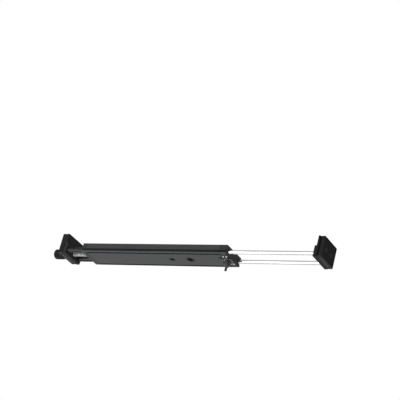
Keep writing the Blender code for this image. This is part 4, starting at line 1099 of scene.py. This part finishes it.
@dataclass
class Clamp(SubAssembly):
    """The clamp plate that lifts against the rods, its set screws and its washer."""

    body: str = "clamp"
    edge: float = 0.0003
    corner: float = 0.0005
    stud_bore: float = 0.0022
    screw_bore: float = 0.0014
    socket_share: float = 0.8

    def build(self) -> None:
        """Make the plate, the set screws and the washer."""
        span, screw = Span.of("clamp_plate"), Span.of("lock_screw")
        outline = frame_outline(span.low[:2], span.high[:2], self.corner)
        plate = slab("clamp_plate_surface", outline, span.low[2], span.high[2], self.edge, 3,
                     Axis.UP)
        base, height = span.low[2], span.length(Axis.UP)
        tools = [upright_bore((screw.middle[0], 0), base, self.stud_bore, height, through=True)]
        screws = [kind + side for kind in ("plate_set_screw_", "plate_end_screw_")
                  for side in SIDES]
        for node in screws:
            tools.append(upright_bore(Span.of(node).middle, base, self.screw_bore, height,
                                      ease=0.0002, through=True))
        work(plate, tools)
        self.place(plate, "clamp_plate", BLACK)
        for node in screws:
            self.grub_screw(node, Axis.UP, SET_STEEL, self.socket_share)
        self.washer("lock_washer", Axis.UP, STEEL, self.stud_bore)


@dataclass
class WingScrew(SubAssembly):
    """The wing screw: a threaded stud moulded into a hub with two wings."""

    body: str = "wing_screw"
    heading: float = math.radians(128)
    hub_radius: float = 0.0045
    hub_height: float = 0.0064
    reach: float = 0.0082
    tip_share: float = 0.34
    thickness: float = 0.0028
    voxel: float = 0.00014
    stud_bore: float = 0.0022
    stud_pitch: float = 0.0007
    stud_plain: float = 0.0050

    def build(self) -> None:
        """Make the stud and the wing head."""
        self.stud()
        self.wing()

    def stud(self) -> None:
        """The threaded stud, rounded at its tip."""
        radius, length = Span.of("lock_screw").turned(Axis.UP)
        thread = Thread(self.stud_plain, length - 0.0006, radius, self.stud_pitch, 0.00035)
        foot = np.array([(0, radius - 0.0002), (0.0002, radius),
                         (self.stud_plain - 0.0002, radius)])
        tip = np.array([(length - 0.0002, radius * 0.86), (length, radius * 0.72)])
        self.turned("lock_screw", Axis.UP, np.vstack([foot, thread.rows(10), tip]), OXIDE,
                    FINE_ROUND, thread=thread)

    def outline(self, span: Span) -> np.ndarray:
        """Both wings seen flat, in (outwards, up): a broad V with round tips and a soft valley."""
        top, low, hub, reach = span.high[2], span.low[2], self.hub_radius, self.reach
        tip = reach * self.tip_share
        return both_sides([(hub * 0.45, top - 0.0007, 0.0), (hub * 1.28, top - 0.0018, 0.0012),
                           (reach, low + tip * 0.9, tip * 0.5),
                           (reach - tip * 0.45, low, tip * 0.45), (reach - tip, low, tip * 0.5),
                           (hub * 0.95, top - self.hub_height * 0.93, 0.0020),
                           (hub * 0.45, top - self.hub_height * 0.80, 0.0)], 6)

    def wing(self) -> None:
        """The moulded head: hub and wings joined by a voxel remesh and smoothed."""
        span, stud = Span.of("lock_wing"), Span.of("lock_screw")
        centre, top, hub, height = stud.middle[0], span.high[2], self.hub_radius, self.hub_height
        low = top - height
        profile = rounded([(low, CENTRE_HOLE, 0), (low, hub * 0.80, 0.0009),
                           (top - height * 0.32, hub, 0.0012), (top, hub, 0.0004),
                           (top, CENTRE_HOLE, 0)], 6, closed=False)
        head = skin("lock_wing_surface", turn(profile, Axis.UP, (centre, 0, 0)))
        half = self.thickness / 2
        grid = extrude(self.outline(span), eased(-half, half, half * 0.5, 6), Axis.UP)
        cos, sin = math.cos(self.heading), math.sin(self.heading)
        placed = grid @ np.array([(cos, sin, 0), (0, 0, 1), (sin, -cos, 0)]) + (centre, 0, 0)
        gather(head, skin("wings", placed))
        melt = head.modifiers.new("melt", "REMESH")
        melt.mode, melt.voxel_size = "VOXEL", self.voxel
        calm = head.modifiers.new("calm", "SMOOTH")
        calm.factor, calm.iterations = 0.5, 8
        settle(head)
        work(head, [Bore(Axis.DOWN, (centre, 0, top), self.stud_bore, top - stud.low[2] + SEAT,
                         0.0002).tool()])
        self.place(head, "lock_wing", POLYMER)


@dataclass
class Jaw(SubAssembly):
    """What both jaws share: a plate on two shafts, a ribbed pad and their screws."""

    side: str = ""
    outward: int = 1
    shaft_radius: float = 0.0025
    seat_depth: float = 0.0030
    screw_seat: float = 0.0026
    screw_reach: float = 0.0019
    corner: float = 0.0015
    edge: float = 0.0006
    pad_edge: float = 0.0003
    ledge: float = 0.0010
    ledge_top: float = 0.0132
    lip: float = 0.0014
    ribs: int = 5
    rib_depth: float = 0.0004
    rib_width: float = 0.0009
    plate_finish: Finish = BLACK
    pad_finish: Finish = RUBBER

    @property
    def axis_out(self) -> Axis:
        """Direction from the pad to the plate."""
        return Axis.RIGHT if self.outward > 0 else Axis.LEFT

    @property
    def axis_in(self) -> Axis:
        """Direction from the plate to the pad."""
        return Axis.LEFT if self.outward > 0 else Axis.RIGHT

    def pad_screw(self, side: str) -> str:
        """Node of the pad's cap screw on one side."""
        return self.side + "_pad_screw_" + side

    def grub(self, side: str) -> str:
        """Node of the grub screw under the shaft on one side."""
        return self.side + "_grub_screw_" + side

    def plate(self) -> None:
        """The jaw plate with its shaft seats, counterbores and grub screw holes."""
        node = self.side + "_jaw_plate"
        span = Span.of(node)
        outline = frame_outline(span.low[1:], span.high[1:], self.corner, 8)
        plate = slab(node + "_surface", outline, span.low[0], span.high[0], self.edge, 5)
        inner, outer = span.start(self.axis_out)[0], span.start(self.axis_in)[0]
        tools = []
        for side, sign in SIDES.items():
            screw, grub = Span.of(self.pad_screw(side)), Span.of(self.grub(side))
            tools.append(self.shaft_bore(inner, sign * self.shaft_line, self.shaft_radius + ROOM,
                                         self.seat_depth + SEAT, self.axis_out, ease=0.0002))
            tools.append(Bore(self.axis_in, (outer, *screw.middle[1:]), SCREW_HOLE,
                              span.length() + OVER, 0.00025, screw.radius() + ROOM,
                              self.screw_seat).tool())
            tools.append(upright_bore(grub.middle, span.low[2], grub.radius(Axis.UP) + GRUB_ROOM,
                                      grub.high[2] - span.low[2] + SEAT, ease=0.00025))
        work(plate, tools + self.extra_plate_tools(span))
        self.place(plate, node, self.plate_finish)
        self.dress_plate(plate, span)

    def dress_plate(self, plate: Piece, span: Span) -> None:
        """Further finishes that only one of the plates has."""

    def extra_plate_tools(self, span: Span) -> list[Piece]:
        """Cutters that only one of the plates needs."""
        return []

    def extra_pad_tools(self, span: Span) -> list[Piece]:
        """Cutters that only one of the pads needs."""
        return []

    def pad_outline(self, span: Span) -> np.ndarray:
        """Side view of the pad in (up, outwards): a plain back, a ledge at the foot, ribs above."""
        bottom, top, shelf_top = span.low[2], span.high[2], self.ledge_top
        back, step, length = span.start(self.axis_in)[0], -self.outward, span.length()
        front, shelf = back + step * (length - self.ledge), back + step * (length + self.lip)
        root = front - step * self.rib_depth
        corners = [(top, back, 0.0004), (bottom, back, 0.0004), (bottom, shelf, 0.0010),
                   (shelf_top, shelf, 0.0006), (shelf_top, front, 0.0003)]
        pitch, half = (top - shelf_top) / (self.ribs + 1), self.rib_width / 2
        for index in range(self.ribs):
            groove = shelf_top + pitch * (index + 1)
            corners += [(groove - half, front, 0.0002), (groove - half * 0.5, root, 0.00012),
                        (groove + half * 0.5, root, 0.00012), (groove + half, front, 0.0002)]
        return rounded(corners + [(top, front, 0.0004)], 4)

    def pad(self) -> None:
        """The rubber pad with its shaft holes."""
        node = self.side + "_jaw_pad"
        span = Span.of(node)
        pad = slab(node + "_surface", self.pad_outline(span), span.low[1], span.high[1],
                   self.pad_edge, axis=Axis.FAR)
        back, length = span.start(self.axis_in)[0], span.length() + self.lip
        tools = []
        for side, sign in SIDES.items():
            screw = Span.of(self.pad_screw(side))
            tools.append(self.shaft_bore(back, sign * self.shaft_line, self.shaft_radius + ROOM,
                                         length, self.axis_in, through=True))
            tools.append(Bore(self.axis_in, (back, *screw.middle[1:]), SCREW_HOLE,
                              self.screw_reach, 0.0).tool())
        work(pad, tools + self.extra_pad_tools(span))
        self.place(pad, node, self.pad_finish)

    def build(self) -> None:
        """Make what both jaws share, then what is their own."""
        self.plate()
        self.pad()
        for side in SIDES:
            self.cap_screw(self.pad_screw(side), self.axis_in)
            self.grub_screw(self.grub(side), Axis.UP)
        self.shafts()

    def shafts(self) -> None:
        """Make the jaw's rods or guides."""
        raise NotImplementedError


@dataclass
class RightJaw(Jaw):
    """The jaw on two bright rods, which slides out of the lock block."""

    body: str = "right_jaw"
    side: str = "right"
    slot_width: float = 0.0024
    slot_depth: float = 0.0010
    slot_foot: float = 0.0012
    shadow_band_inset: float = 0.0003
    shadow_band_lift: float = 0.0002
    recess_margin: float = 0.0013
    recess_depth: float = 0.00035
    recess_corner: float = 0.0008
    tip_bore: float = 0.0016
    tip_depth: float = 0.0043
    plate_finish: Finish = JAW_SIDE_LIT
    pad_finish: Finish = PAD_RUBBER

    def build(self) -> None:
        """Make what both jaws share, then the near-black band in the plate's slot that paints its
        shade.
        """
        super().build()
        self.band(Span.of("right_jaw_plate"))

    def arch(self, span: Span, outer: float, inner: float, foot: float) -> np.ndarray:
        """Outline in Y and Z of an arch over both sides and the top, from outer to inner inset."""
        (left, base), (right, top) = span.low[1:] + (outer, foot), span.high[1:] - outer
        wall, edge, bend, shoulder = inner - outer, 0.0002, 0.0006, 0.0012
        return rounded([(left, base, edge), (left + wall, base, edge),
                        (left + wall, top - wall, bend), (right - wall, top - wall, bend),
                        (right - wall, base, edge), (right, base, edge),
                        (right, top, shoulder), (left, top, shoulder)], 5)

    def extra_plate_tools(self, span: Span) -> list[Piece]:
        """The slot round the plate's inner edge, and the recess in its outer face, which takes
        painted shade.
        """
        inner, outer, margin = span.low[0], span.high[0], self.recess_margin
        arch = self.arch(span, -OVER, self.slot_depth, self.slot_foot)
        recess_outline = frame_outline(span.low[1:] + margin, span.high[1:] - margin, self.recess_corner)
        return [prism("slot", arch, inner - OVER, inner + self.slot_width),
                prism("recess", recess_outline, outer - self.recess_depth, outer + OVER)]

    def dress_plate(self, plate: Piece, span: Span) -> None:
        """Paint shade on recess, slot and holes with the darker finish: all that lies inside the
        rim.
        """
        depth = (self.recess_margin - FACE_ROOM) * np.array([0, 1, 1])
        self.second_finish(plate, JAW_FACE_SHADED, span.low + depth, span.high - depth)

    def band(self, span: Span) -> None:
        """A near-black band that fills the slot behind the pad: painted shade for the shadow in the
        slot.
        """
        outline = self.arch(span, self.shadow_band_inset, self.slot_depth - FACE_ROOM,
                            self.slot_foot + FACE_ROOM)
        band = slab("right_jaw_band", outline, span.low[0] - self.shadow_band_lift,
                    span.low[0] + self.slot_width - FACE_ROOM, 0.0001, 2)
        self.place(band, None, SHADOW_BAND)

    def shafts(self) -> None:
        """The rods, their inner stops and the stops' screws."""
        for side in SIDES:
            node = "right_rod_" + side
            radius, length = Span.of(node).turned()
            bore, depth, ease = self.tip_bore, self.tip_depth, 0.0004
            profile = rounded([(depth, SHAFT_CENTRE, 0), (depth, bore, 0), (0, bore, 0.0002),
                               (0, radius, ease), (length, radius, ease),
                               (length, SHAFT_CENTRE, 0)], 4, closed=False)
            self.turned(node, Axis.RIGHT, profile, BRIGHT, POLISHED_ROUND)
            self.washer("rod_stop_" + side, Axis.RIGHT, OXIDE, bore, 0.0002)
            self.cap_screw("stop_screw_" + side, Axis.RIGHT)


@dataclass
class LeftJaw(Jaw):
    """The jaw on two black guides, which the lead screw draws in."""

    body: str = "left_jaw"
    side: str = "left"
    outward: int = -1
    shaft_radius: float = 0.0033
    seat_depth: float = 0.0040
    lead_radius: float = 0.0026
    clip_seat: float = 0.0042

    def extra_plate_tools(self, span: Span) -> list[Piece]:
        """The lead screw's hole and the recess of its clip."""
        inner = span.high[0]
        return [self.shaft_bore(inner, 0, self.lead_radius, span.length(), Axis.LEFT,
                                ease=0.0002, wide_radius=self.clip_seat, through=True,
                                wide_depth=inner - Span.of("retaining_clip").low[0] + SEAT)]

    def extra_pad_tools(self, span: Span) -> list[Piece]:
        """The lead screw's hole through the pad."""
        return [self.shaft_bore(span.low[0], 0, self.lead_radius + ROOM, span.length(),
                                ease=0.0003, through=True)]

    def shafts(self) -> None:
        """The guides and the thrust washer under the knob."""
        for side in SIDES:
            node = "left_guide_" + side
            radius, length = Span.of(node).turned()
            profile = rounded([(0, SHAFT_CENTRE, 0), (0, radius, 0.0005), (length, radius, 0.0005),
                               (length, SHAFT_CENTRE, 0)], 4, closed=False)
            self.turned(node, Axis.RIGHT, profile, GUIDE, POLISHED_ROUND)
        self.washer("thrust_washer", Axis.RIGHT, STEEL, self.lead_radius)


@dataclass
class LeadScrew(SubAssembly):
    """The lead screw with its clip, and the fluted knob that turns it."""

    body: str = "lead_screw_and_knob"
    pitch: float = 0.0008
    thread_depth: float = 0.00024
    neck: float = 0.0019
    clip_opening: float = 35.0
    flutes: int = 22
    flute_columns: int = 14
    flute_depth: float = 0.0004
    flute_shape: float = 0.8
    chamfer: float = 0.0011
    dish: float = 0.0006
    bore: float = 0.0026
    bore_depth: float = 0.0105

    def build(self) -> None:
        """Make the screw, the clip, the knob and its set screw."""
        self.screw()
        self.clip()
        self.knob()
        self.grub_screw("knob_set_screw", Axis.NEAR)

    def screw(self) -> None:
        """The screw: plain in the knob, a neck for the clip, then the thread to the tip."""
        span, clip = Span.of("lead_screw"), Span.of("retaining_clip")
        radius, length = span.turned()
        start = clip.low[0] - span.low[0] - 0.0001
        end = clip.high[0] - span.low[0] + 0.0001
        thread = Thread(end + 0.0004, length - 0.0007, radius, self.pitch, self.thread_depth)
        first = np.array([(0, CENTRE_HOLE), (0, radius - 0.0003), (0.0003, radius),
                          (start, radius), (start, self.neck), (end, self.neck), (end, radius)])
        tip = np.array([(length - 0.0003, radius * 0.84), (length, radius * 0.74),
                        (length, CENTRE_HOLE)])
        self.turned("lead_screw", Axis.RIGHT, np.vstack([first, thread.rows(), tip]), SCREW_STEEL,
                    FINE_ROUND, thread=thread)

    def clip(self) -> None:
        """The open retaining clip: a thin band along an arc."""
        span = Span.of("retaining_clip")
        angle = np.radians(np.linspace(self.clip_opening, 360 - self.clip_opening, 61))
        way = np.stack([np.cos(angle), np.sin(angle)], axis=1)
        outline = np.vstack([way * span.size[2] / 2, way[::-1] * (self.neck + 0.0001)])
        clip = slab("retaining_clip_surface", outline + (0, span.middle[2]), span.low[0],
                    span.high[0], 0.0001, 2)
        self.place(clip, "retaining_clip", OXIDE)

    def knob(self) -> None:
        """The knob, turned with flutes, chamfered rims and a dished outer end.

        A flute takes depth * (window * (1 - cos(count * angle)) / 2) ** shape off the radius,
        and the window rises from 0 at the rims to 1 along the grip.
        """
        span, grub = Span.of("adjusting_knob"), Span.of("knob_set_screw")
        radius, length = span.turned()
        dish, rim, height = self.dish, self.chamfer, span.middle[2]
        end = rounded([(dish, CENTRE_HOLE, 0), (dish, radius * 0.52, 0.0006),
                       (0, radius * 0.66, 0.0003), (0, radius - rim, 0.0002),
                       (rim, radius, 0.0002), (rim + 0.0004, radius, 0)], 4, closed=False)
        grip = np.linspace(rim + 0.0005, length - rim - 0.0005, 28)
        back = rounded([(length - rim - 0.0004, radius, 0), (length - rim, radius, 0.0002),
                        (length, radius - rim, 0.0002), (length, CENTRE_HOLE, 0)], 4, closed=False)
        profile = np.vstack([end, np.stack([grip, np.full(len(grip), radius)], axis=1), back])
        columns = self.flutes * self.flute_columns
        angle = np.arange(columns) * 2 * math.pi / columns
        window = np.clip((profile[:, 1] - (radius - rim)) / rim, 0, 1) ** self.flute_shape
        wave = (0.5 - 0.5 * np.cos(self.flutes * angle)) ** self.flute_shape
        cut = self.flute_depth * window[:, None] * wave[None, :]
        grid = turn(profile, Axis.RIGHT, span.start(), columns, flutes=cut)
        knob = skin("adjusting_knob_surface", grid)
        work(knob, [Bore(Axis.LEFT, (span.high[0], 0, height), self.bore, self.bore_depth + SEAT,
                         0.0003).tool(),
                    Bore(Axis.NEAR, (grub.middle[0], radius, height),
                         grub.radius(Axis.FAR) + GRUB_ROOM, radius - self.bore + SEAT,
                         0.0002).tool()])
        self.place(knob, "adjusting_knob", BLACK_TURNED)


# Studio

WHITE = (1.0, 1.0, 1.0, 1.0)


def cool(grey: float) -> tuple[float, float, float, float]:
    """A grey with a little more blue in it."""
    return grey, grey, grey + 0.01, 1.0


@dataclass
class Studio:
    """Camera, floor, world and lamps."""

    camera_at: tuple[float, float, float] = (1.0247, -1.4750, -0.7043)
    forward: tuple[float, float, float] = (-0.5088, 0.7596, 0.4053)
    right: tuple[float, float, float] = (0.8609, 0.4518, 0.2340)
    lens: float = 140.5
    floor_height: float = -1.75
    floor_radius: float = 9.0
    floor_columns: int = 96

    def build(self) -> None:
        """Set up everything round the bar."""
        self.camera()
        self.world()
        self.floor()
        self.lamp("key", (-0.9, -1.6, 1.3), 1.2, 2.5)
        self.lamp("under", (-0.85, -1.10, -0.77), 1.0, 17.0)
        bpy.context.scene.view_settings.view_transform = "Standard"

    def camera(self) -> None:
        """The photograph's camera, as a place and two directions."""
        forward, right = Vector(self.forward).normalized(), Vector(self.right).normalized()
        up = right.cross(forward).normalized()
        right = forward.cross(up)
        data = bpy.data.cameras.new("camera")
        data.lens, data.sensor_width, data.clip_end = self.lens, 36.0, 50.0
        camera = linked("camera", data)
        turned = Matrix((right, up, -forward)).transposed().to_4x4()
        camera.matrix_world = Matrix.Translation(self.camera_at) @ turned
        bpy.context.scene.camera = camera

    def world(self) -> None:
        """White where the camera looks; softer in front and overhead for light and reflections."""
        world = bpy.data.worlds.new("studio")
        world.use_nodes = True
        nodes = Nodes(world.node_tree)
        place = nodes.add("ShaderNodeTexCoord").outputs["Generated"]
        split = nodes.add("ShaderNodeSeparateXYZ", Vector=place)
        right, far, above = (split.outputs[name] for name in "XYZ")
        sides = nodes.blend(nodes.spread(far, -0.6, 0.5), cool(0.50), cool(0.72))
        sides = nodes.blend(nodes.spread(right, 0.1, 0.9), sides, cool(0.36))
        soft = nodes.blend(nodes.spread(above, 0.45, 0.85), sides, cool(0.32))
        mirror = nodes.blend(nodes.spread(above, 0.0, 0.42), WHITE, cool(0.42))
        path = nodes.add("ShaderNodeLightPath").outputs
        shiny = nodes.math("MAXIMUM", path["Is Glossy Ray"], path["Is Transmission Ray"])
        seen = nodes.blend(path["Is Camera Ray"], nodes.blend(shiny, soft, mirror), WHITE)
        sky = nodes.add("ShaderNodeBackground", Color=seen, Strength=1.0)
        nodes.add("ShaderNodeOutputWorld", Surface=sky.outputs[0])
        bpy.context.scene.world = world

    def floor(self) -> None:
        """A pale disc under everything that turns white far out."""
        count = self.floor_columns
        angle = np.arange(count) * 2 * math.pi / count
        ring = np.stack([np.cos(angle) * self.floor_radius, np.sin(angle) * self.floor_radius,
                         np.full(count, self.floor_height)], axis=1)
        mesh = bpy.data.meshes.new("floor")
        mesh.from_pydata(ring.tolist(), [], [list(range(count))])
        made = bpy.data.materials.new("floor")
        made.use_nodes = True
        nodes = Nodes(made.node_tree)
        flat = nodes.add("ShaderNodeMapping", Vector=nodes.place(), Scale=(1.0, 1.0, 0.0))
        share = nodes.spread(nodes.vector("LENGTH", flat.outputs[0]), 2.5, 7.5)
        path = nodes.add("ShaderNodeLightPath").outputs
        direct = nodes.math("MAXIMUM", path["Is Camera Ray"], path["Is Transmission Ray"])
        direct = nodes.math("MAXIMUM", direct, path["Is Glossy Ray"])
        share = nodes.math("MAXIMUM", share, nodes.math("MULTIPLY", direct, 0.55))
        plain = nodes.add("ShaderNodeBsdfPrincipled", Base_Color=(0.86, 0.86, 0.86, 1.0),
                          Roughness=0.9, Specular_IOR_Level=0.0)
        white = nodes.add("ShaderNodeEmission", Color=WHITE, Strength=1.0)
        mixed = nodes.add("ShaderNodeMixShader")
        nodes.feed(mixed.inputs, (share, plain.outputs[0], white.outputs[0]))
        nodes.add("ShaderNodeOutputMaterial", Surface=mixed.outputs[0])
        mesh.materials.append(made)
        linked("floor", mesh)

    def lamp(self, name: str, at: tuple[float, float, float], size: float, power: float) -> None:
        """A soft square lamp that faces the bar."""
        data = bpy.data.lights.new(name, "AREA")
        data.shape, data.size, data.energy = "SQUARE", size, power
        lamp = linked(name, data)
        lamp.location = at
        lamp.rotation_euler = (-Vector(at)).to_track_quat("-Z", "Y").to_euler()


def corners(box: tuple[Vector, Vector]) -> list[list[float]]:
    """A box as plain lists."""
    return [list(map(float, point)) for point in box]


def main() -> None:
    """Load the frame, and build every sub-assembly and the studio."""
    logging.basicConfig(level=logging.INFO, format="%(message)s")
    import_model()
    for part in (Rail(), EndCap(), LockBlock(), Clamp(), WingScrew(), RightJaw(), LeftJaw(),
                 LeadScrew()):
        LOG.info("building %s", type(part).__name__)
        part.build()
    Studio().build()
    bpy.context.view_layer.update()


if __name__ == "__main__":
    main()
